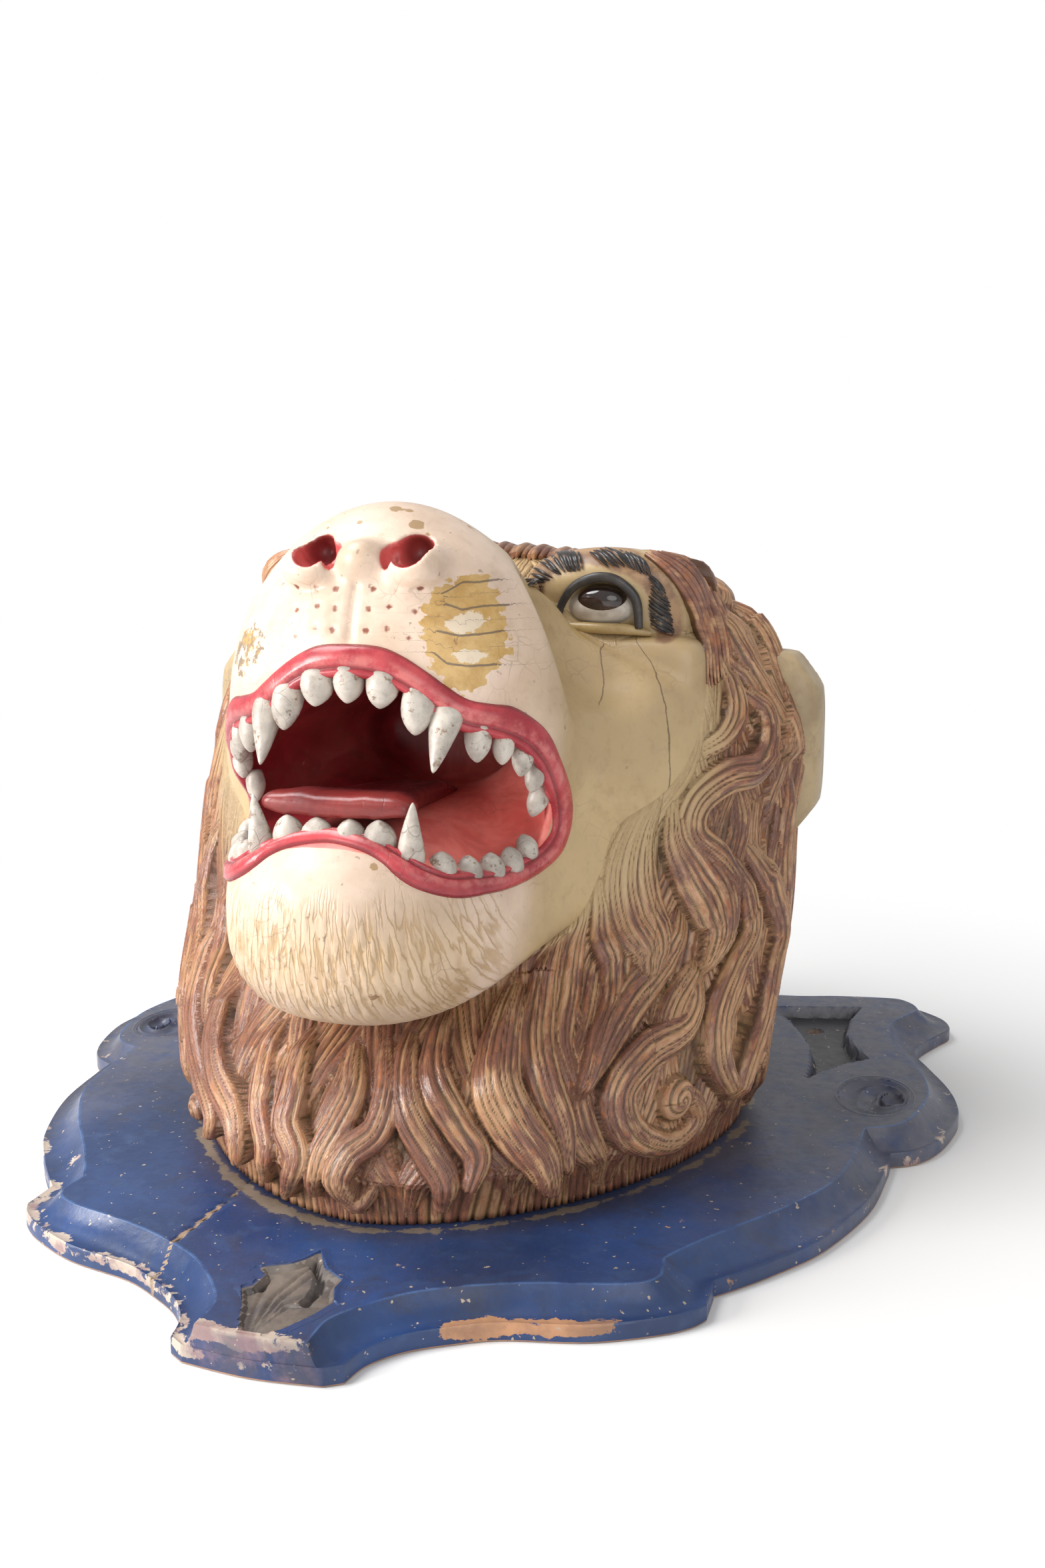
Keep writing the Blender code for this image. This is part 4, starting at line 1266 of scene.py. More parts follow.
MANE_PAINT = mane_paint()
FINE_STEPS = ((0.27, 1.2))
BACK_STEPS = ((0.75, 2.3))
for name, first, last, steps in (
    ("carved_mane_right", -75, -13, FINE_STEPS), ("carved_mane_front", -13, 47, FINE_STEPS),
    ("carved_mane_left", 47, 107, FINE_STEPS), ("carved_mane_back", 107, 285, BACK_STEPS),
):
    shape = close_inside(*carved_mane(first, last, *steps))
    piece = make_piece(name, shape[0], shape[1], MANE_PAINT, "painted_carved_wood", shape[2], recalc=False)
    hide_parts("lion_head")
    print(name, triangle_count(piece), "triangles")

# %% [markdown]
# Strokes that repeat, such as the hairs of the brows, are swept by a Geometry Nodes tree: each stroke is a
# line of points with a width, and the tree sweeps a rounded ridge along it.

# %% A geometry nodes tree that sweeps short strokes


def build_flute_tree():
    tree = bpy.data.node_groups.new("carved_flutes", "GeometryNodeTree")
    sockets = (
        ("Lines", "Geometry", None), ("Ridge Height", "Float", 0.72), ("Root Depth", "Float", 1.8),
        ("Profile Points", "Int", 8), ("Finish", "Material", None),
    )
    enter, leave = add_sockets(tree, sockets, (("Geometry", "Geometry"),))

    def made(kind, feeds=None, **settings):
        return node(tree, "GeometryNode" + kind, feeds, **settings).outputs[0]

    curves = made("MeshToCurve", {0: enter["Lines"]})
    outward = made("InputNamedAttribute", {0: "outward"}, data_type="FLOAT_VECTOR")
    turned = made("SetCurveNormal", {"Curve": curves, "Normal": outward}, mode="FREE")
    width = made("InputNamedAttribute", {0: "half_width"}, data_type="FLOAT")
    ring = made("CurvePrimitiveCircle", {"Radius": 1, "Resolution": enter["Profile Points"]})
    rise, side, _ = axes_of(made("InputPosition"))
    above = times(math_node("MAXIMUM", rise, 0.0), enter["Ridge Height"])
    below = times(math_node("MINIMUM", rise, 0.0), enter["Root Depth"])
    shaped = node(tree, "ShaderNodeCombineXYZ", {0: plus(above, below), 1: side}).outputs[0]
    stored = {"Geometry": ring, "Name": "ridge", "Value": rise}
    marked = made("StoreNamedAttribute", stored, data_type="FLOAT", domain="POINT")
    profile = made("SetPosition", {"Geometry": marked, "Position": shaped})
    section = {"Curve": turned, "Profile Curve": profile, "Scale": width, "Fill Caps": True}
    real = made("RealizeInstances", {0: made("SetShadeSmooth", {0: made("CurveToMesh", section)})})
    feed(made("SetMaterial", {"Geometry": real, "Material": enter["Finish"]}), leave[0])
    return tree


FLUTE_TREE = build_flute_tree()


def sweep_flutes(name, strands, finish, ridge=0.72, depth=1.8, sides=8):
    """One plain mesh from many strands, each (points, outward directions, half widths, tone)."""
    points, edges, outward, widths, tones = [], [], [], [], []
    for line, away, half_width, tone in strands:
        start = len(points)
        points.extend((line * MM).tolist())
        edges.extend((start + i, start + i + 1) for i in range(len(line) - 1))
        outward.extend(away.ravel().tolist())
        widths.extend((half_width * MM).tolist())
        tones.extend([tone] * len(line))
    mesh = bpy.data.meshes.new(name + "_lines")
    mesh.from_pydata(points, edges, [])
    mesh.attributes.new("outward", "FLOAT_VECTOR", "POINT").data.foreach_set("vector", outward)
    mesh.attributes.new("half_width", "FLOAT", "POINT").data.foreach_set("value", widths)
    mesh.attributes.new("tone", "FLOAT", "POINT").data.foreach_set("value", tones)
    lines = add_object(name + "_lines", mesh)
    modifier = lines.modifiers.new("carved_flutes", "NODES")
    modifier.node_group = FLUTE_TREE
    values = {"Ridge Height": ridge, "Root Depth": depth, "Profile Points": sides, "Finish": finish}
    for item in FLUTE_TREE.interface.items_tree:
        if item.in_out == "INPUT" and item.name in values:
            modifier[item.identifier] = values[item.name]
    graph = bpy.context.evaluated_depsgraph_get()
    swept = bpy.data.meshes.new_from_object(lines.evaluated_get(graph))
    swept.name = name
    bpy.data.objects.remove(lines, do_unlink=True)
    tone = np.empty(len(swept.vertices), np.float32)
    swept.attributes["tone"].data.foreach_get("value", tone)
    place = np.empty(len(swept.vertices) * 3, np.float32)
    swept.vertices.foreach_get("co", place)
    for key, values in (("skirt", tone * 0 + 1), ("strand", tone * 60), ("travel", place[2::3] * 1000)):
        swept.attributes.new(key, "FLOAT", "POINT").data.foreach_set("value", values)
    for key in ("outward", "half_width"):
        if key in swept.attributes:
            swept.attributes.remove(swept.attributes[key])
    piece = add_object(name, swept)
    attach(piece, "root")
    return piece


print("flute tree:", len(FLUTE_TREE.nodes), "nodes")

# %% [markdown]
# ## Lips, teeth and tongue
# The lips are a broad painted band with a worn ridge. Two measured lines, the outer and the inner edge of
# the band, carry a swept section that rises between them and turns back into the mouth.

# %% Lips
LIP_OUTER = (
    (0, -148, 302), (15, -147, 301), (26, -145, 297), (37, -143, 290), (46, -141, 283), (55, -136, 277),
    (65, -130, 274), (73, -123, 272), (80, -113, 266), (85, -104, 258), (88, -95, 246), (89, -80, 230),
    (88, -70, 215), (87, -73, 202), (85, -84, 193), (79, -103, 187), (73, -128, 186), (67, -146, 187),
    (60, -160, 188), (52, -170, 191), (43, -177, 196), (35, -179, 201), (28, -178, 206), (20, -177, 210),
    (11, -176, 212), (0, -175, 213),
)
LIP_STEPS = 260
LIP_INNER = (
    (0, -150, 288), (16, -149, 286), (27, -148, 281.5), (35, -146, 275), (43, -143, 269), (53, -139, 263),
    (63, -132, 260), (72, -124, 256), (78, -116, 250), (82, -108, 242), (84, -101, 231), (83, -88, 216),
    (82, -87, 206), (79, -101, 199), (72, -121, 196), (67, -138, 196), (60, -152, 198), (52, -163, 200),
    (43, -169, 205), (36, -170, 209), (29, -170, 212), (20, -169, 215), (0, -167, 218),
)


def lips():
    outer = smooth_line(both_sides(LIP_OUTER), LIP_STEPS, closed=True)
    inner = smooth_line(both_sides(LIP_INNER), LIP_STEPS, closed=True)
    out = unit(slope(face_form, outer))
    inward = inner - outer
    width = np.linalg.norm(inward, axis=1, keepdims=True)
    inward = inward / width
    back = np.array([0.0, 1.0, 0.0])
    # share of the way across, rise out of the face and step back into the mouth
    section = (
        (-0.02, -4.0, 0), (-0.06, -0.4, 0), (0.02, 1.4, 0), (0.12, 2.6, 0), (0.28, 3.3, 0), (0.46, 3.7, 0),
        (0.60, 3.5, 0), (0.68, 2.6, 0), (0.73, 1.5, 0), (0.79, 1.6, 0), (0.86, 2.3, 0), (0.95, 1.9, 0),
        (1.02, 0.4, 0), (1.06, -1.5, 1), (1.07, -2.0, 5), (1.0, -3.0, 9), (0.5, -6.0, 9),
    )
    rings = []
    for share, rise, step in section:
        ripple = 0.25 * np.sin(np.arange(LIP_STEPS) * 0.21 + share * 9)[:, None]
        rings.append(outer + inward * width * share + out * (rise + ripple * (rise > 0)) + back * step)
    points = np.concatenate(rings)
    faces = ring_faces(len(section), LIP_STEPS, closed=True)
    band = np.repeat([share for share, _, _ in section], LIP_STEPS)
    return points, faces, {"band": band}


def lip_paint():
    """Crimson with painted shade in a dark rim and groove, and rubbed pink along the crest."""
    material, tree, shader, place = start_material("red_painted_lip")
    band = mask(tree, "band")
    cloud = noise(place, 38, 6, 0.65)
    fine = noise(place, 120, 5, 0.7)
    red = mix_colour(ramp(cloud, 0.35, 0.62), (0.33, 0.028, 0.04), (0.52, 0.07, 0.08))
    crest = minus(1.0, ramp(size_of(minus(band, 0.52)), 0.04, 0.3))
    rubbed = times(crest, ramp(fine, 0.38, 0.62))
    red = tint(red, rubbed, 0.62, (0.66, 0.22, 0.2))
    # The outer rim and the groove near the inner edge are darkened: painted shade.
    rim = ramp(band, 0.10, 0.0)
    red = tint(red, rim, 0.7, (0.17, 0.012, 0.018))
    groove = minus(1.0, ramp(size_of(minus(band, 0.75)), 0.02, 0.09))
    red = tint(red, groove, 0.6, (0.14, 0.01, 0.014))
    paint_over(tree, shader, place, red, (0.60, 0.40, 0.30), (0.07, 0.015, 0.015), 0.36, 0.3, 0.35, 0.27, 0.5)
    return material


lip_points, lip_faces, lip_masks = lips()
lip_piece = make_piece("painted_lips", lip_points, lip_faces, lip_paint(), "painted_carved_wood", lip_masks)
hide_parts("lion_head")
print("lips:", triangle_count(lip_piece), "triangles")

# %% [markdown]
# Each tooth is a separate whittled peg set in the gum. A few rings round its axis, pushed in by four flats of
# the knife, make one; the table gives the places of the base and the tip on the lion's left, and the right
# side mirrors them with flats of its own.

# %% Teeth
UPPER = (
    ("upper_incisor_middle", (0, -144, 292), (0, -150, 275), 8.0),
    ("upper_incisor_inner", (16.4, -144, 290), (16.6, -150, 273), 8.0),
    ("upper_incisor_outer", (33, -141, 283), (33.6, -149, 261), 8.2),
    ("upper_canine", (46.5, -138, 273), (44.0, -154, 244.5), 8.2),
    ("upper_premolar_1", (58.5, -131, 265), (59, -134, 247), 6.4),
    ("upper_premolar_2", (68.5, -122, 260), (68.5, -125, 245), 5.6),
    ("upper_premolar_3", (76, -111.5, 253), (74.5, -115, 238), 5.2),
    ("upper_molar_1", (80, -102, 243), (77.5, -107, 229), 5.2),
    ("upper_molar_2", (79, -92, 230), (75, -97, 215), 5.4),
)
LOWER = (
    ("lower_incisor_inner", (8.2, -167, 211), (8.2, -169, 223.5), 7.6),
    ("lower_incisor_outer", (22.5, -167, 208), (23, -170, 224), 7.6),
    ("lower_canine", (37, -167, 202), (40, -170, 233), 6.8),
    ("lower_premolar_1", (49.5, -158, 196), (49.5, -158, 208.5), 7.2),
    ("lower_premolar_2", (59.5, -147, 192), (58.5, -147, 205), 6.3),
    ("lower_premolar_3", (67, -134, 191), (65, -134, 204), 6.4),
    ("lower_molar_1", (72.5, -120, 192), (70, -121, 204.5), 6.2),
    ("lower_molar_2", (76.5, -105, 196), (73, -107, 208), 5.8),
)
# share of the length from the gum, and share of the radius there
TOOTH_PROFILE = (
    (0.0, 0.5), (0.0, 0.88), (0.12, 1.0), (0.3, 1.07), (0.48, 1.05), (0.64, 0.94), (0.78, 0.74),
    (0.89, 0.5), (0.97, 0.24), (1.0, 0.08),
)
CANINE_PROFILE = (
    (0.0, 0.5), (0.0, 0.9), (0.08, 1.0), (0.22, 0.99), (0.4, 0.84), (0.57, 0.66), (0.73, 0.48),
    (0.87, 0.3), (0.96, 0.16), (1.0, 0.05),
)


def tooth(base, tip, radius, seed, long):
    """A whittled peg: a full gum end, flats left by the knife, and a blunt tip."""
    mix = np.random.default_rng(seed)
    base, tip = np.array(base, float), np.array(tip, float)
    axis = (tip - base) / np.linalg.norm(tip - base)
    side = np.cross(axis, (0.0, 1.0, 0.0))
    side /= np.linalg.norm(side)
    front = np.cross(side, axis)
    length = np.linalg.norm(tip - base)
    profile = CANINE_PROFILE if long else TOOTH_PROFILE
    sides = 20
    turns = np.linspace(0, 2 * math.pi, sides, endpoint=False)
    flats = mix.uniform(0, 2 * math.pi, 4)
    points = []
    for share, swell in profile:
        centre = base + axis * length * share
        lump = sum(0.075 * np.cos((turns - f - share * 0.5) / 2) ** 16 for f in flats)
        wobble = 1 + 0.03 * np.sin(turns * 3 + share * 7 + seed) - lump
        for turn, w in zip(turns, wobble):
            reach = radius * swell * w
            points.append(centre + reach * (side * math.cos(turn) + front * 0.9 * math.sin(turn)))
    return points, ring_faces(len(profile), sides)


def tooth_paint():
    material, tree, shader, place = start_material("painted_tooth")
    colour = two_tone(place, (70, 6, 0.7), (0.38, 0.66), (0.57, 0.52, 0.455), (0.38, 0.335, 0.29))
    colour = two_tone(place, (180, 5, 0.7), (0.58, 0.66), colour, (0.25, 0.17, 0.12))
    paint_over(tree, shader, place, colour, (0.32, 0.24, 0.18), (0.15, 0.12, 0.10), 0.5, 0.6, 0.5, 0.38, 0.8)
    return material


TOOTH_PAINT = tooth_paint()
for seed, (name, base_at, tip_at, radius) in enumerate(UPPER + LOWER):
    for side, label in (((1, "_left"), (-1, "_right")) if base_at[0] else ((1, ""),)):
        ends = [(side * at[0], *at[1:]) for at in (base_at, tip_at)]
        shape = tooth(*ends, radius, seed * 2 + (side > 0), "canine" in name)
        piece = make_piece("carved_" + name + label, *shape, TOOTH_PAINT, "tooth_white")
        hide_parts(name + label)
print("teeth:", 2 * len(UPPER + LOWER) - 1)

# %% [markdown]
# The tongue is a loose slab with a square-cut front and a shallow hollow along its top. Rings of a squared
# oval along one measured line give its flat top and soft corners.

# %% Tongue
TONGUE = (
    (-170, 229, 34, 3.0), (-169, 229, 36.5, 5.0), (-160, 229, 38, 6.6), (-145, 227, 33, 7),
    (-115, 223, 22, 7), (-80, 220, 17, 7.4), (-50, 216, 16, 8.0), (-12, 203, 16, 8.0),
)


def tongue_shape():
    line = smooth_line(TONGUE, 46)
    sides = 40
    points = []
    for y, z, half_width, half_thick in line:
        for k in range(sides):
            turn = 2 * math.pi * (k + 0.5) / sides
            cos, sin = math.cos(turn), math.sin(turn)
            x = half_width * math.copysign(abs(cos) ** 0.55, cos)
            rise = half_thick * math.copysign(abs(sin) ** 0.7, sin)
            hollow = 2.0 * math.exp(-((x / 11) ** 2)) if sin > 0 else 0
            lip = 0.35 * math.sin(x * 0.4 + y * 0.06)
            points.append((x, y, z + rise - hollow + lip))
    return points, ring_faces(len(line), sides)


tongue = make_piece("carved_tongue", *tongue_shape(), TONGUE_RED, "red_painted_wood")
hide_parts("tongue")
print("tongue:", triangle_count(tongue), "triangles")

# %% [markdown]
# ## Eyes and brows
# Each eye is a rounded ball let into the brow, with a glossy black pupil and a black lid that arches over it.
# Ellipsoids and tubes along measured lines are enough, because paint does most of the work here.

# %% Eyes


def ellipsoid(centre, reach, subdivisions=4):
    ball = bmesh.new()
    bmesh.ops.create_icosphere(ball, subdivisions=subdivisions, radius=1.0)
    points = np.array([v.co[:] for v in ball.verts]) * np.array(reach) + np.array(centre)
    faces = [tuple(v.index for v in f.verts) for f in ball.faces]
    ball.free()
    return points, faces


def sweep_tube(line, radii, flat=0.6, sides=12, count=60):
    """A closed tube along an open line; radii run along it and flat squeezes it front to back."""
    path = smooth_line(line, count)
    radius = np.interp(np.linspace(0, 1, count), np.linspace(0, 1, len(radii)), radii)
    along = unit(np.gradient(path, axis=0))
    side = unit(np.cross(along, np.array([0.0, -1.0, 0.15])))
    face_out = np.cross(side, along)
    points = []
    for p, r, s, f in zip(path, radius, side, face_out):
        for k in range(sides):
            turn = 2 * math.pi * k / sides
            points.append(p + r * (s * math.cos(turn) + f * flat * math.sin(turn)))
    return points, ring_faces(count, sides)


def simple_paint(name, light, dark, ground, rough, chips=0.3, coat=0.0, scale=60, relief=0.5, stain=0.3):
    material, tree, shader, place = start_material(name)
    colour = two_tone(place, (scale, 5, 0.6), (0.4, 0.65), light, dark)
    paint_over(tree, shader, place, colour, ground, (0.08, 0.05, 0.035), chips, stain, 0.25, rough, relief)
    shader.inputs["Coat Weight"].default_value = coat
    return material


EYE_WHITE = simple_paint(
    "eye_white_paint", (0.62, 0.57, 0.50), (0.42, 0.36, 0.30), (0.2, 0.09, 0.06), 0.3, 0.5
)
EYE_BLACK = simple_paint(
    "eye_black_gloss", (0.012, 0.010, 0.010), (0.035, 0.012, 0.010), (0.05, 0.03, 0.02), 0.08, 0.1, 0.6
)
LID_BLACK = simple_paint(
    "lid_black_paint", (0.022, 0.021, 0.021), (0.055, 0.05, 0.047), (0.33, 0.2, 0.12), 0.35, 0.45
)
LID_OCHRE = simple_paint(
    "lid_ochre_paint", (0.42, 0.30, 0.13), (0.33, 0.22, 0.10), (0.25, 0.12, 0.07), 0.3, 0.4
)
UPPER_LID = (
    (59.2, 8.6, 306), (62.2, 7.0, 315.7), (69.7, 4.2, 325.0), (79.2, 2.2, 329.5), (87.1, 2.0, 330.3),
    (94.0, 3.0, 328.5), (101.1, 5.0, 322.7), (104.6, 6.4, 315.9), (105.8, 7.0, 302.5),
)
UPPER_LID_RADII = (1.9, 2.3, 2.5, 2.7, 2.8, 2.8, 2.8, 2.7, 2.3)
LOWER_LID = (
    (50, 15, 302.5), (60, 10, 303.2), (68, 7, 303), (83, 5, 302.4), (98, 6.5, 302), (112, 11, 299.5),
)
LOWER_LID_RADII = (1.4, 2.2, 3.0, 3.2, 3.0, 1.6)
for side, label in ((1, "left"), (-1, "right")):
    parts = (
        ("eye_ball_", ellipsoid((83.5, 17, 314), (20.5, 15.5, 11.5)), EYE_WHITE),
        ("eye_pupil_", ellipsoid((84.5, 9.8, 317.8), (14.2, 10.2, 9.0)), EYE_BLACK),
        ("eye_lid_black_", sweep_tube(UPPER_LID, UPPER_LID_RADII, 0.75), LID_BLACK),
        ("eye_lid_low_", sweep_tube(LOWER_LID, LOWER_LID_RADII, 0.9), LID_OCHRE),
    )
    for name, shape, finish in parts:
        piece = make_piece(name + label, to_side(shape[0], side), shape[1], finish, "painted_carved_wood")
        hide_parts("lion_head")

print("eyes:", 2 * len(parts), "pieces")

# %% [markdown]
# Three tufts of brow stand over each eye, cut with short black strokes. The table gives a few strokes by
# their ends in x and z, outer end first, and the loop fills in the rest and lays each on the face.

# %% Brow tufts
BROW_TUFTS = (
    (16, (((40, 318), (49, 323)), ((43, 330), (52, 328)), ((50, 340), (60, 332)), ((60, 347), (66, 334)),
          ((66, 347), (70, 334)), ((72, 345), (74, 335)))),
    (12, (((79, 344), (88, 336)), ((85, 347), (97, 337)), ((92, 347), (102, 336)), ((100, 345), (107, 333)),
         ((106, 342), (112, 332)))),
    (15, (
        ((112, 332), (120, 325)), ((113, 325), (123, 319)), ((113, 319), (125, 313)),
        ((113, 315), (126, 307)), ((114, 310), (127, 303)), ((114, 305), (125, 301)),
    )),
)
SIGHT = np.array((-0.2817, 0.9449, -0.1668))


def lay_on(form, points, direction, reach=50):
    """Slides points along a direction until they touch the form."""
    steps = np.arange(-reach, reach, 1.0)
    spots = points[:, None] + steps[None, :, None] * direction
    depth = form(spots.reshape(-1, 3)).reshape(len(points), -1)
    first = np.where(depth.min(1) < 0.6, np.argmax(depth < 0.6, 1), depth.argmin(1))
    return points + steps[first][:, None] * direction


brow_strands = []
for side in (1, -1):
    for count, pairs in BROW_TUFTS:
        ends = np.array(pairs, float)
        for k in range(count):
            at = k / (count - 1) * (len(ends) - 1)
            low = min(int(at), len(ends) - 2)
            outer, inner = ends[low] * (1 - at + low) + ends[low + 1] * (at - low)
            share = np.linspace(-0.06, 1.06, 9)[:, None]
            flat = outer * (1 - share) + inner * share
            flat = flat + rng.uniform(-0.5, 0.5, 2)
            line = lay_on(face_form, np.c_[flat[:, 0], np.full(len(flat), 5.0), flat[:, 1]], SIGHT)
            line[1:-1] = (line[:-2] + 2 * line[1:-1] + line[2:]) / 4
            out = unit(slope(face_form, line))
            line = line + out * (0.2 + 1.3 * np.sin(math.pi * held(share)) + rng.uniform(-0.3, 0.5))
            width = rng.uniform(1.0, 1.3) * np.array([0.3, 0.65, 0.9, 1, 1.05, 1, 0.9, 0.65, 0.3])
            brow_strands.append((to_side(line, side), out * (side, 1, 1), width, float(rng.uniform(0, 1))))


def brow_paint():
    material, tree, shader, place = start_material("brow_striped_paint")
    rise = ramp(mask(tree, "ridge"), 0.15, 0.75)
    streak = noise(place, 130, 4, 0.7)
    streak = plus(streak, swing(mask(tree, "tone"), 0.35))
    stroke = plus(times(rise, 0.35), times(streak, 0.9))
    tan = two_tone(place, (70, 4), (0.4, 0.6), (0.4, 0.26, 0.14), (0.2, 0.1, 0.07))
    colour = mix_colour(ramp(stroke, 0.55, 0.68), tan, (0.02, 0.018, 0.018))
    paint_over(tree, shader, place, colour, (0.3, 0.18, 0.1), (0.06, 0.035, 0.025), 0.3, 0.3, 0.2, 0.28, 0.5)
    return material


BROW_PAINT = brow_paint()
brows = sweep_flutes(
    "brow_tufts", brow_strands, BROW_PAINT, ridge=0.8, depth=1.6, sides=10
)
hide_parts("lion_head")
print("brow strokes:", len(brow_strands))

# %% [markdown]
# Short forelocks lie behind the brows, and at each temple a tuft of long strands runs from the brow over the
# edge of the mane. Both are swept by the same tree as the brows, the temple locks in the mane's own paint.

# %% Forelocks behind the brows
forelock_strands = []
for k in range(15):
    start = np.array((-84 + 12 * k + rng.uniform(-2, 2), rng.uniform(30, 42), 345))
    sweep_side = rng.uniform(-10, 10)
    for j in range(5):
        share = np.linspace(0, 1, 12)
        x = start[0] + (j - 2) * 3.4 * (1 - 0.5 * share) + sweep_side * share**2
        y = start[1] + 4 * abs(j - 2) * (1 - share) + 46 * share
        arch = 6.5 * np.sin(math.pi * held(share * 0.85 + 0.12))
        z = 341 + arch - abs(j - 2) * 0.9 - np.abs(x) * 0.02
        line = np.c_[x, y, z - 0.0009 * x**2]
        width = 2.4 * np.sin(math.pi * held(share * 0.9 + 0.07)) ** 0.6 + 0.3
        forelock_strands.append((line, np.tile((0.0, -0.3, 1.0), (12, 1)), width, 0.7))

print("forelock strands:", len(forelock_strands))

# %% [markdown]
# At each temple a thin tuft turns down beside the brow. Its strands run between two measured lines and are
# laid on the face and the mane together, so that they hug both.

# %% Temple locks beside the brows
TEMPLE_INNER = (
    (106.0, 341.0), (121.1, 328.8), (131.7, 316.2), (139.3, 299.7), (141.6, 284.4), (143.4, 269.0)
)
TEMPLE_OUTER = (
    (120.9, 342.8), (136.4, 340.3), (148.0, 332.8), (154.8, 317.8), (160.3, 300.1), (163.2, 284.9)
)


def temple_ground(points):
    """The face and the mane's carved level together."""
    return np.minimum(face_form(points), mane_form(points) + 2.0)


temple_strands = []
for side in (1, -1):
    inner, outer = smooth_line(TEMPLE_INNER, 22), smooth_line(TEMPLE_OUTER, 22)
    for k in range(10):
        share = k / 9
        flat = inner * (1 - share) + outer * share + rng.uniform(-0.4, 0.4, 2)
        line = lay_on(temple_ground, np.c_[flat[:, 0], np.full(len(flat), 20.0), flat[:, 1]], SIGHT)
        for _ in range(3):
            line[1:-1] = (line[:-2] + 2 * line[1:-1] + line[2:]) / 4
        out = unit(slope(temple_ground, line, 2.0))
        arch = math.sin(math.pi * (0.15 + 0.7 * share))
        along = np.linspace(0, 1, len(line))[:, None]
        ends = np.sin(math.pi * (0.06 + 0.91 * along)) ** 0.5
        line = line + out * ((0.3 + 3.8 * arch) * ends * (1 - along) ** 0.7 - 1.8 * along**3)
        width = 2.1 * ends[:, 0]
        tone = float(rng.uniform(0.2, 0.9))
        temple_strands.append((to_side(line, side), out * (side, 1, 1), width, tone))

print("temple strands:", len(temple_strands))

# %% [markdown]
# Only the plain outer side of the ears shows, so each is one rounded block with its upper and lower corners
# cut off, sliced like the face.

# %% Ears


def ear_form(points):
    mirrored = mirrored_over(points)
    block = rounded_block(mirrored, (160, 112, 228), (38, 26, 57), (4, 4, 4))
    return np.maximum(block, mirrored[:, 0] * 0.8 + np.abs(points[:, 2] - 228) * 0.6 - 178)


EAR_PAINT = simple_paint(
    "pale_ear_paint", (0.45, 0.34, 0.195), (0.36, 0.265, 0.15), (0.3, 0.2, 0.12), 0.42, 0.3, scale=30
)
for side, label in ((1, "left"), (-1, "right")):
    box = ((118, 80, 165), (204, 144, 292)) if side > 0 else ((-204, 80, 165), (-118, 144, 292))
    ear_points, ear_quads = slice_form(ear_form, *box, 2.6)
    ear_points = settle(ear_form, ear_points, 1.6)
    ear = make_piece(
        "ear_" + label, ear_points, ear_quads.tolist(), EAR_PAINT, "painted_carved_wood", recalc=False
    )
    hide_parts("lion_head")
print("ear:", triangle_count(ear), "triangles")

# %% [markdown]
# The tree of short strokes now sweeps both sets of strands, each into one plain mesh.

# %% Sweep the forelocks and the temple locks
FORELOCK_PAINT = simple_paint(
    "reddish_forelock_paint", (0.36, 0.19, 0.10), (0.20, 0.085, 0.055), (0.42, 0.2, 0.09), 0.28, 0.4,
    scale=90,
)
temples = sweep_flutes(
    "temple_locks", temple_strands, MANE_PAINT, ridge=1.1, depth=2.8, sides=12
)
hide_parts("lion_head")
forelocks = sweep_flutes(
    "forelocks", forelock_strands, FORELOCK_PAINT, ridge=0.9, depth=2.2, sides=8
)
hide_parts("lion_head")
print("temple locks:", triangle_count(temples), "triangles; forelocks:", triangle_count(forelocks))

# %% [markdown]
# ## The backboard
# The board is a flat plank with a scrolled outline, a hollow moulding round its edge, two sunk panels in the
# upper corners, a scroll at each side and a small leaf on the tab below. Its front is a height over the
# outline, on rings that shrink in from the edge, so that the moulding keeps its crisp arris.

# %% Board outline
BOARD_HALF = (
    ((0, -270), (0, -268.6), 0), ((33, -267), (26.5, -266.6), 1), ((41, -262), (26.4, -259), 1),
    ((45, -247), (27.8, -246), 0), ((56, -233), (38, -231), 0), ((72, -222), (54, -215), 0),
    ((94, -211), (74, -203), 0), ((131, -202), (104, -191), 0), ((159, -188), (138, -182), 0),
    ((173, -177), (153, -175), 0), ((179, -168), (158, -167), 1), ((179, -146), (156, -151), 1),
    ((190, -134), (166, -134), 0), ((203, -118), (180, -114), 0), ((224, -87), (205, -80), 0),
    ((243, -38), (226, -41), 0), ((250, 8), (234, 5), 0), ((251, 25), (236, 34), 1),
    ((266, 35), (252, 42), 0), ((278, 56), (262, 60), 0), ((286.7, 91), (269, 93), 0),
    ((286, 116), (267, 120), 0), ((280, 141), (259, 148), 0), ((268, 172), (247, 178), 0),
    ((259, 196), (240, 206), 0), ((262, 216), (242, 228), 0), ((272, 239), (250, 246), 0),
    ((280, 257), (257, 260), 0), ((277, 273), (255, 271), 0), ((267, 286), (249, 279), 0),
    ((253, 296), (242, 283), 0), ((229, 300), (227, 282), 0), ((200, 295), (198, 277), 0),
    ((163, 286), (162, 268), 0), ((80, 281), (80, 263), 0), ((0, 280), (0, 262), 0),
)


def board_outlines(steps):
    whole = list(BOARD_HALF) + [((-o[0], o[1]), (-i[0], i[1]), s) for o, i, s in BOARD_HALF[-2:0:-1]]
    count = len(whole)
    edge, cove = [], []
    for i in range(count):
        before = i if whole[i][2] else i - 1
        after = (i + 1) % count if whole[(i + 1) % count][2] else (i + 2) % count
        for k in range(steps):
            t = k / steps
            for loop, part in ((edge, 0), (cove, 1)):
                a, b, c, d = (np.array(whole[j % count][part], float) for j in (before, i, i + 1, after))
                loop.append(spline(a, b, c, d, t))
    return np.array(edge), np.array(cove)


BOARD_STEPS = 11
EDGE, COVE = board_outlines(BOARD_STEPS)
print("board outline points:", len(EDGE))

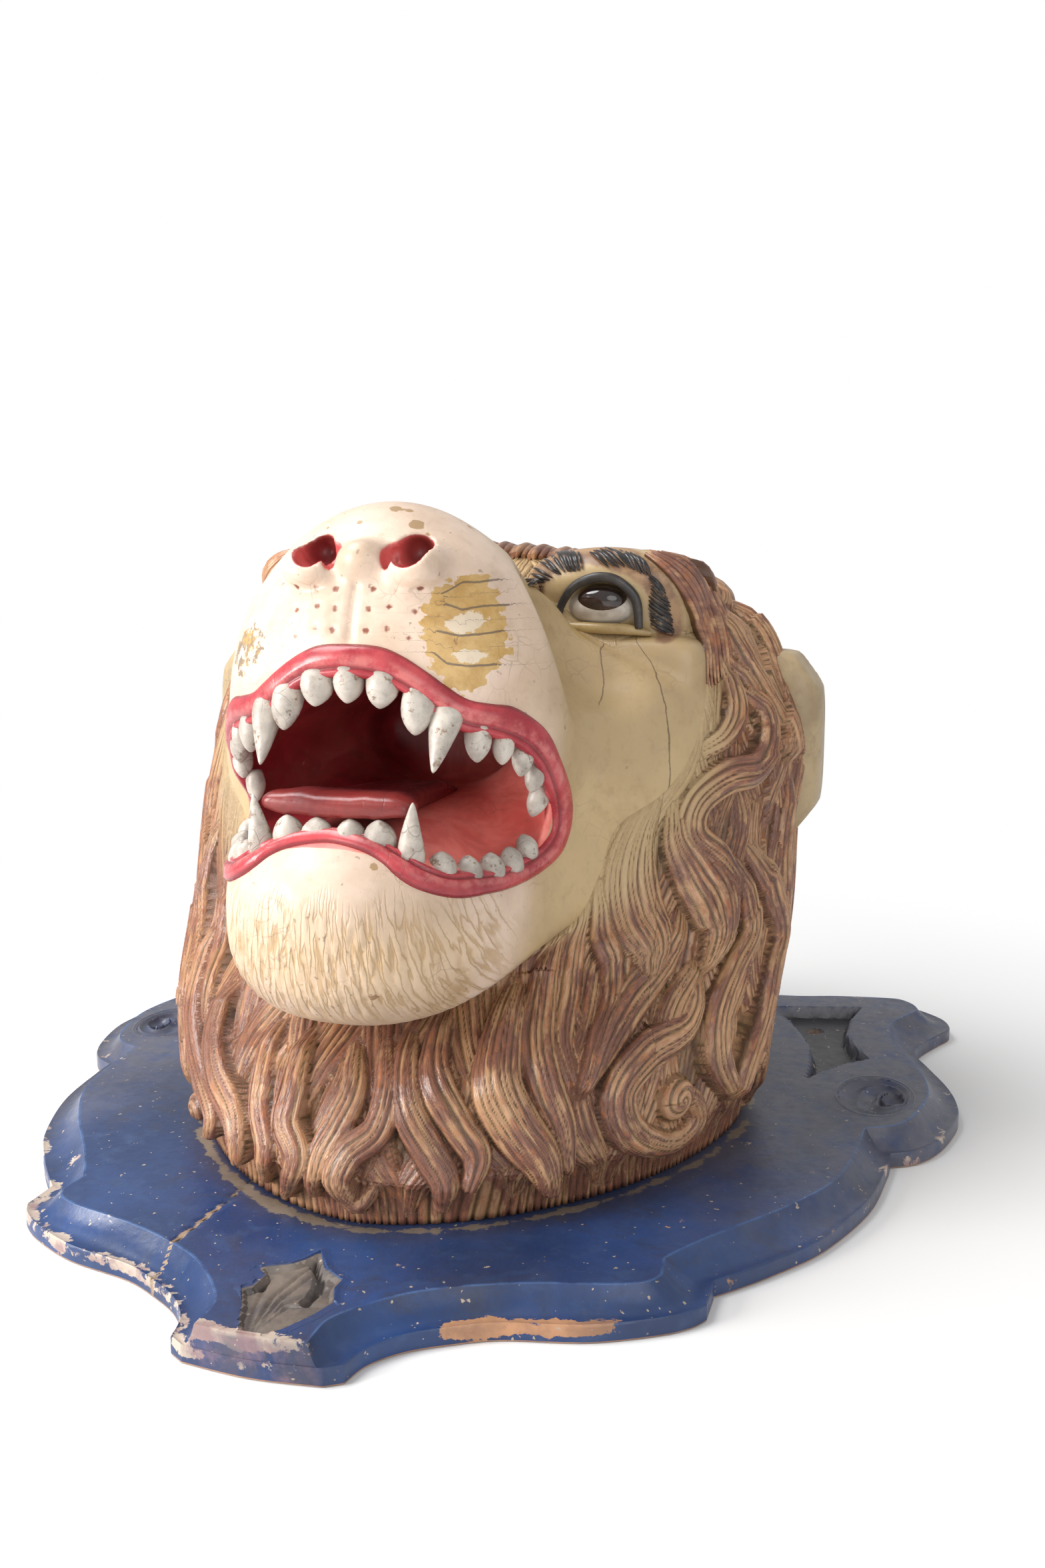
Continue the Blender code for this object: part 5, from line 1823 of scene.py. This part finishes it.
# %% [markdown]
# One function gives the height of the board's front at any place: the sunk panels, the wells of the scrolls
# and the leaf, the screw holes and the open joint are each a smooth step taken off the flat.

# %% Heights of the board's front
RECESS = (
    (150, 237), (217, 254), (212, 224), (212, 192), (219, 170), (229, 150), (215, 137), (202, 118),
    (188, 92), (110, 110),
)
LEAF = (
    (-1, -191), (7, -205), (20, -214), (19.5, -222), (24, -233), (19, -247), (13, -258), (7, -266.5),
    (-5, -267), (-10, -258), (-14.5, -246), (-21.5, -233), (-17.5, -230), (-16.5, -219), (-23, -214),
    (-16, -210), (-9.5, -206.5), (-5, -201),
)
LEAF_CUTS = (
    ((0.5, -200), (7, -209), (11.5, -223), (11, -234)),
    ((-21.5, -216), (-16, -221.5), (-15, -227.5), (-18.5, -232)),
    ((-23.5, -238.5), (-16, -247.5), (-10.5, -261), (-9.5, -267)),
    ((23.5, -236), (18.7, -247.5), (13, -257), (8.5, -267)),
)
LEAF_VEINS = (
    ((-1, -266), (-5, -233), (0, -198)), ((-0.5, -263), (5, -240), (22, -233)),
    ((-2, -265), (-8, -248), (-12, -230), (-20, -215)), ((0, -266), (-1, -236), (4, -210)),
    ((-1, -264), (2, -238), (14, -220)),
)
LEAF_WELL = (
    (-26, -268), (26, -268), (23, -258), (26, -246), (32, -238), (16, -186), (-16, -186), (-32, -238),
    (-26, -246), (-23, -258),
)
OPEN_JOINT = ((-68, -127), (-70, -160), (-72, -190), (-76, -233))
SCREW_HOLE_AT = (190, 217)
BOSS_MIDDLE = 120
BOSS_RADIUS = 197
BOARD_FRONT = 19.0
VOLUTE_AT = (238.0, 85.0)
VOLUTE_REACH = (23.0, 33.0)


def soft_step(distance, width):
    """1 well inside (negative distance), 0 outside, over a short slope."""
    t = held(0.5 - distance / width)
    return t * t * (3 - 2 * t)


def volute_height(points):
    """Height of the scroll's dished oval: ridges that wind in to a small round hollow at its outer side."""
    dx = (points[:, 0] - VOLUTE_AT[0]) / VOLUTE_REACH[0]
    dy = (points[:, 1] - VOLUTE_AT[1]) / VOLUTE_REACH[1]
    reach = np.hypot(dx, dy)
    inner = np.hypot(dx - 0.5 * (1 - reach), dy)
    turn = (np.arctan2(dy, dx - 0.45) + math.radians(60)) / (2 * math.pi) % 1
    wind = (inner * 3.1 - turn) % 1
    bowl = -4.6 * (1 - held(reach) ** 5) * (0.55 + 0.45 * held(0.6 - dx))
    ridges = 2.3 * (1 - np.abs(2 * wind - 1)) ** 1.4 * held((1 - reach) * 6)
    button = np.hypot(dx - 0.46, dy)
    eye = -4.2 * held(1 - (button / 0.30) ** 4) - 0.6
    return BOARD_FRONT + np.where(button < 0.30, eye, bowl + ridges)


def sunk_panel(mirrored):
    """Distance from the edge of a sunk panel, which a round boss cuts off on its inner side."""
    boss = BOSS_RADIUS - np.hypot(mirrored[:, 0], mirrored[:, 1] - BOSS_MIDDLE)
    return np.maximum(outline_distance(mirrored, RECESS), boss)


def screw_distance(mirrored):
    return np.hypot(mirrored[:, 0] - SCREW_HOLE_AT[0], mirrored[:, 1] - SCREW_HOLE_AT[1])


def front_height(points):
    """Height of the board's front with its sunk panels, scroll wells, screw holes and open joint."""
    mirrored = mirrored_over(points)
    height = np.full(len(points), BOARD_FRONT)
    sunk = sunk_panel(mirrored)
    height -= 8.0 * soft_step(sunk, 3.0)
    scroll = np.hypot(*((mirrored[:, :2] - VOLUTE_AT) / VOLUTE_REACH).T)
    height -= 7.0 * soft_step((scroll - 0.86) * 25, 3.0)
    height -= 3.0 * soft_step(screw_distance(mirrored) - 4.4, 1.5) * (sunk < 0)
    height -= 7.0 * soft_step(outline_distance(points, LEAF) + 3.0, 3.0)
    height -= 1.6 * np.exp(-((line_distance(points, OPEN_JOINT) / 0.9) ** 2))
    return height


def board():
    """Rings from the back edge over the hollow moulding and in to the middle, under the head."""
    count = len(EDGE)
    rings = []
    for share, z in ((0, 0.0), (0, 7.6), (0.03, 8.6)):
        rings.append(np.c_[EDGE * (1 - share) + COVE * share, np.full(count, z)])
    for t in (0.1, 0.22, 0.35, 0.5, 0.65, 0.78, 0.9, 1.0):
        place = EDGE * (1 - t) + COVE * t
        sag = 4.4 * math.sin(math.pi * t)
        rings.append(np.c_[place, np.full(count, 8.6 + 10.4 * t - sag)])
    centre = np.array([0.0, 50.0])
    inner = 78
    for share in 0.56 * np.linspace(0, 1, inner)[1:] ** 1.15:
        place = COVE * (1 - share) + centre * share
        rings.append(np.c_[place, front_height(place)])
    rings.append(np.c_[COVE * 0.2 + centre * 0.8, np.full(count, 12.0)])
    points = np.concatenate(rings)
    return points, ring_faces(len(rings), count)


def board_masks(points):
    flat = points[:, :2]
    mirrored = mirrored_over(flat)
    edge = -outline_distance(flat, EDGE[::3])
    sunk = sunk_panel(mirrored)
    return {
        "edge": edge,
        "leaf": outline_distance(flat, LEAF),
        "sunk": sunk,
        "rise": points[:, 2],
        "split": line_distance(flat, OPEN_JOINT),
        "foot": np.abs(mane_form(np.c_[flat, np.full(len(flat), BOARD_FRONT)])),
        "hole": screw_distance(mirrored),
        "arris": np.minimum(np.abs(outline_distance(flat, COVE[::3])), np.abs(sunk)),
        "cuts": line_distance(flat, *LEAF_CUTS) + 3 * (points[:, 2] > 18.9),
        "crumbs": np.exp(-(((flat[:, 1] + 266) / 5) ** 2)) * (np.abs(flat[:, 0]) < 31) * (points[:, 2] > 12),
        "tab_end": held((-266.5 - flat[:, 1]) / 2) * (points[:, 2] < 18.7),
    }


def board_paint():
    material, tree, shader, place = start_material("ultramarine_board_paint")
    axes = axes_of(place)
    broad = noise(place, 9, 5, 0.6)
    brush = noise(place, 55, 5, 0.65)
    blue = mix_colour(ramp(broad, 0.35, 0.7), (0.013, 0.036, 0.118), (0.026, 0.066, 0.2))
    blue = tint(blue, ramp(brush, 0.5, 0.72), 0.55, (0.04, 0.085, 0.205))
    smear = noise(place, 26, 7, 0.75, 0.6)
    blue = tint(blue, ramp(smear, 0.5, 0.68), 0.5, (0.035, 0.036, 0.048))
    wander = swing(broad, 0.3)
    # Greyer towards the back and the two sides: dust, and a painted sheen where light glances off the paint.
    beside = times(size_of(axes[0]), 0.85)
    deep = plus(plus(times(axes[1], 0.8), beside), wander)
    dust_and_sheen = times(ramp(deep, 0.02, 0.24), ramp(brush, 0.15, 0.6))
    colour = tint(blue, dust_and_sheen, 0.75, (0.125, 0.12, 0.135))
    sunk = times(ramp(mask(tree, "sunk"), 1.5, -2.0), 0.9)
    colour = mix_colour(sunk, colour, (0.038, 0.037, 0.038))
    hole = ramp(plus(mask(tree, "hole"), swing(brush, 5.0)), 6.0, 4.0)
    colour = mix_colour(hole, colour, (0.2, 0.13, 0.09))
    # A lighter blue along the top of the moulding's arris and the sunk panels' edges: painted highlight.
    painted_arris_highlight = times(ramp(mask(tree, "rise"), 18.4, 19.1), near_zero(mask(tree, "arris"), 1.1))
    colour = tint(colour, painted_arris_highlight, ramp(brush, 0.35, 0.6), (0.055, 0.125, 0.3))
    leaf = minus(1.0, ramp(mask(tree, "leaf"), -0.6, 0.0))
    grey = mix_colour(ramp(brush, 0.4, 0.65), (0.215, 0.175, 0.135), (0.125, 0.105, 0.09))
    colour = tint(colour, leaf, 0.92, grey)
    # The deep cuts between the leaf's lobes are tinted near black: painted shade in the cuts.
    colour = tint(colour, ramp(mask(tree, "cuts"), 2.6, 1.2), 0.85, (0.035, 0.03, 0.028))

    flake = noise(place, 48, 8, 0.7, 0.3)
    low = minus(1.0, ramp(mask(tree, "rise"), 7.0, 11.0))
    rim = times(ramp(mask(tree, "edge"), 9.0, 2.0), ramp(mask(tree, "rise"), 1.0, 5.0))
    front_side = minus(1.0, ramp(axes[1], -0.16, -0.02))
    left_front = times(ramp(axes[0], 0.03, -0.02), front_side)
    strip = times(ramp(axes[0], 0.066, 0.074), ramp(axes[0], 0.152, 0.14))
    strip = times(strip, ramp(axes[1], -0.17, -0.19))
    reach = plus(times(left_front, 0.75), times(strip, 1.25))
    worn = plus(times(low, 0.05), times(rim, 0.17))
    worn = times(worn, plus(reach, 0.22))
    tab = times(mask(tree, "crumbs"), 0.17)
    bare = minus(plus(plus(flake, worn), tab), 0.655)
    bare = times(bare, 45, clamp=True)
    gesso = mix_colour(ramp(brush, 0.45, 0.6), (0.5, 0.41, 0.34), (0.33, 0.22, 0.21))
    wood = mix_colour(ramp(brush, 0.4, 0.6), (0.5, 0.26, 0.135), (0.38, 0.2, 0.11))
    right_front = times(ramp(axes[0], 0.03, 0.06), front_side)
    ground = mix_colour(right_front, gesso, wood)
    colour = mix_colour(bare, colour, ground)
    dirty = times(mask(tree, "tab_end"), ramp(smear, 0.35, 0.6))
    purple = mix_colour(ramp(brush, 0.45, 0.58), (0.075, 0.07, 0.105), (0.2, 0.13, 0.16))
    colour = tint(colour, dirty, 0.8, purple)
    split = plus(mask(tree, "split"), swing(brush, 6.0))
    colour = mix_colour(ramp(split, 1.6, 1.0), colour, (0.34, 0.24, 0.16))
    colour = mix_colour(ramp(mask(tree, "split"), 0.9, 0.4), colour, (0.03, 0.02, 0.015))
    filler = plus(mask(tree, "foot"), swing(flake, 22.0))
    filler = minus(filler, times(left_front, 1.5))
    colour = tint(colour, ramp(filler, 1.9, 0.9), 0.9, (0.31, 0.25, 0.18))
    # Darker in a band round the foot of the mane: painted shade where the mane meets the board.
    seat_shade = ramp(mask(tree, "foot"), 16.0, 3.0)
    colour = tint(colour, seat_shade, 0.35, (0.05, 0.045, 0.045))
    speck = noise(place, 260, 2, 0.5)
    colour = mix_colour(ramp(speck, 0.7, 0.725), colour, (0.42, 0.34, 0.26))
    under = ramp(mask(tree, "rise"), 0.6, 0.1)
    colour = mix_colour(under, colour, wood)
    paint_over(
        tree, shader, place, colour, (0.20, 0.17, 0.15), (0.02, 0.022, 0.03), 0.28, 0.35, 0.1, 0.34, 0.55
    )
    return material


BOARD_PAINT = board_paint()
board_points, board_faces = board()
plank = make_piece(
    "scrolled_backboard", board_points, board_faces, BOARD_PAINT, "blue_painted_wood",
    board_masks(board_points),
)
plank.data.set_sharp_from_angle(angle=math.radians(28))
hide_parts("backboard")
print("board:", triangle_count(plank), "triangles")

# %% [markdown]
# The leaf and the two scrolls are cut finer than the board's own grid allows, so each is an inlay of small
# quads that lies over a shallow well in the board and meets its front at a crisp edge.

# %% Leaf and scrolls


def inlay(name, points, faces, depth):
    """Closes a sheet of small quads with a skirt below the board's front and makes it a piece."""
    rim = open_rim(faces)
    low = {a: len(points) + k for k, (a, _) in enumerate(rim)}
    under = [(points[a][0], points[a][1], depth) for a, _ in rim]
    faces = faces + [(b, a, low[a], low[b]) for a, b in rim]
    middle = len(points) + len(under)
    faces += [(low[b], low[a], middle) for a, b in rim]
    points = np.vstack([points, under, np.mean(under, axis=0)])
    piece = make_piece(name, points, faces, BOARD_PAINT, "blue_painted_wood", board_masks(points))
    piece.data.set_sharp_from_angle(angle=math.radians(32))
    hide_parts("backboard")
    return piece


def leaf_sheet(step):
    across, along = np.arange(-29, 30, step), np.arange(-267.6, -186, step)
    flat = np.stack(np.meshgrid(across, along), -1).reshape(-1, 2)
    for _ in range(2):
        edge = outline_distance(flat, LEAF)
        near = np.abs(edge) < 0.6 * step
        east = outline_distance(flat + (0.2, 0), LEAF) - outline_distance(flat - (0.2, 0), LEAF)
        north = outline_distance(flat + (0, 0.2), LEAF) - outline_distance(flat - (0, 0.2), LEAF)
        away = np.c_[east, north] / 0.4
        flat = flat - away * (edge * near)[:, None]
    edge = outline_distance(flat, LEAF)
    veins = line_distance(flat, *LEAF_VEINS)
    cuts = line_distance(flat, *LEAF_CUTS)
    inside = held(-edge / 1.2)
    swell = 1.6 * held(-edge / 9) ** 0.7 - 1.0 * np.exp(-((veins / 1.1) ** 2))
    bead = 0.7 * np.exp(-((np.maximum(edge, 0) / 2.0) ** 2)) * (edge > -0.3)
    height = 19.06 + inside * (-3.0 + swell) + bead
    height = height - 4.0 * held(1 - (cuts / 3.2) ** 2) * (0.35 + 0.65 * (edge < 1))
    points = np.c_[flat, height]
    quads = grid_quads(len(along), len(across))
    on_tab = (edge < 4.5) & (outline_distance(flat, LEAF_WELL) < 0.5)
    used, quads = drop_unused(len(points), quads[on_tab[quads].all(1)])
    return points[used], quads.tolist()


leaf_piece = inlay("carved_leaf", *leaf_sheet(0.8), 9.0)
print("leaf:", triangle_count(leaf_piece), "triangles")


def scroll_sheet(side, rings, turns):
    angles = np.linspace(0, 2 * math.pi, turns, endpoint=False)[::side]
    points, faces = [np.array([[VOLUTE_AT[0] + 0.46 * VOLUTE_REACH[0], VOLUTE_AT[1], 0.0]])], []
    for k in range(1, rings + 1):
        share = k / rings
        centre = np.array(VOLUTE_AT) + (0.46 * VOLUTE_REACH[0] * (1 - share), 0)
        flat = centre + np.c_[np.cos(angles) * VOLUTE_REACH[0], np.sin(angles) * VOLUTE_REACH[1]] * share
        points.append(np.c_[flat, np.zeros(turns)])
    points.append(np.c_[(flat - VOLUTE_AT) * 1.05 + VOLUTE_AT, np.full(turns, BOARD_FRONT)])
    points = np.concatenate(points)
    body = len(points) - turns
    points[:body, 2] = volute_height(points[:body, :2])
    points[body - turns : body, 2] = 19.3
    points[:, 0] *= side
    for i in range(turns):
        j = (i + 1) % turns
        faces.append((0, 1 + i, 1 + j))
        for r in range(rings):
            a, b = 1 + r * turns, 1 + (r + 1) * turns
            faces.append((a + i, b + i, b + j, a + j))
    return points, faces


for side, label in ((1, "left"), (-1, "right")):
    scroll = inlay(
        "carved_scroll_" + label, *scroll_sheet(side, *(((42, 120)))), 9.0
    )
print("scroll:", triangle_count(scroll), "triangles")

# %% [markdown]
# ## Stage
# The mask lies on its back on a plain pale floor, lit by soft lamps, and the camera stands where the
# photograph was taken from.

# %% Floor, lights and camera


def stage_floor():
    mesh = bpy.data.meshes.new("pale_floor")
    corners = [(x, y, -0.0006) for x, y in ((-6, -6), (6, -6), (6, 6), (-6, 6))]
    mesh.from_pydata(corners, [], [(0, 1, 2, 3)])
    material = bpy.data.materials.new("pale_floor")
    material.use_nodes = True
    tree = material.node_tree
    shader = tree.nodes["Principled BSDF"]
    feed((0.78, 0.78, 0.78), shader.inputs["Base Color"])
    feed(0.9, shader.inputs["Roughness"])
    paper = node(tree, "ShaderNodeEmission", {"Color": (1, 1, 1)}).outputs[0]
    place = node(tree, "ShaderNodeTexCoord").outputs["Object"]
    size = node(tree, "ShaderNodeVectorMath", {0: place}, operation="LENGTH").outputs["Value"]
    seen = node(tree, "ShaderNodeLightPath").outputs["Is Camera Ray"]
    far = times(ramp(size, 0.30, 0.75), seen)
    both = node(tree, "ShaderNodeMixShader", {0: far, 1: shader.outputs[0], 2: paper})
    feed(both.outputs[0], tree.nodes["Material Output"].inputs["Surface"])
    mesh.materials.append(material)
    floor = add_object("pale_floor", mesh)


def soft_lamp(name, place, target, size, power, colour=(1, 1, 1)):
    data = bpy.data.lights.new(name, "AREA")
    data.shape = "DISK"
    data.size = size
    data.energy = power
    data.color = colour
    lamp = add_object(name, data)
    lamp.location = place
    lamp.rotation_euler = (Vector(target) - Vector(place)).to_track_quat("-Z", "Y").to_euler()


stage_floor()
soft_lamp("key_lamp", (-1.6, -1.4, 0.72), (0, -0.05, 0.2), 1.0, 50, (1.0, 0.975, 0.95))
soft_lamp("fill_lamp", (1.3, -1.6, 0.9), (0, 0, 0.15), 1.6, 12, (1.0, 0.98, 0.96))
soft_lamp("top_lamp", (-0.9, -0.3, 1.8), (0, 0, 0.1), 1.2, 32)
world = bpy.data.worlds.new("pale_room")
world.use_nodes = True
air = world.node_tree.nodes["Background"]
feed((1, 1, 1), air.inputs[0])
seen = node(world.node_tree, "ShaderNodeLightPath").outputs["Is Camera Ray"]
feed(plus(times(seen, 0.45), 0.55), air.inputs[1])
bpy.context.scene.world = world
bpy.context.scene.view_settings.view_transform = "Standard"

CAMERA_AT = Vector((0.2765, -0.7886, 0.3534))
CAMERA_LOOK = Vector((-0.2817, 0.9449, -0.1668))
camera_data = bpy.data.cameras.new("camera")
camera_data.sensor_width = 36
camera_data.lens = 33.9
camera_data.clip_start = 0.01
camera = add_object("camera", camera_data)
camera.location = CAMERA_AT
camera.rotation_euler = CAMERA_LOOK.to_track_quat("-Z", "Y").to_euler()
bpy.context.scene.camera = camera
print("lamps:", len(bpy.data.lights), "and a camera of", round(camera_data.lens, 1), "mm")
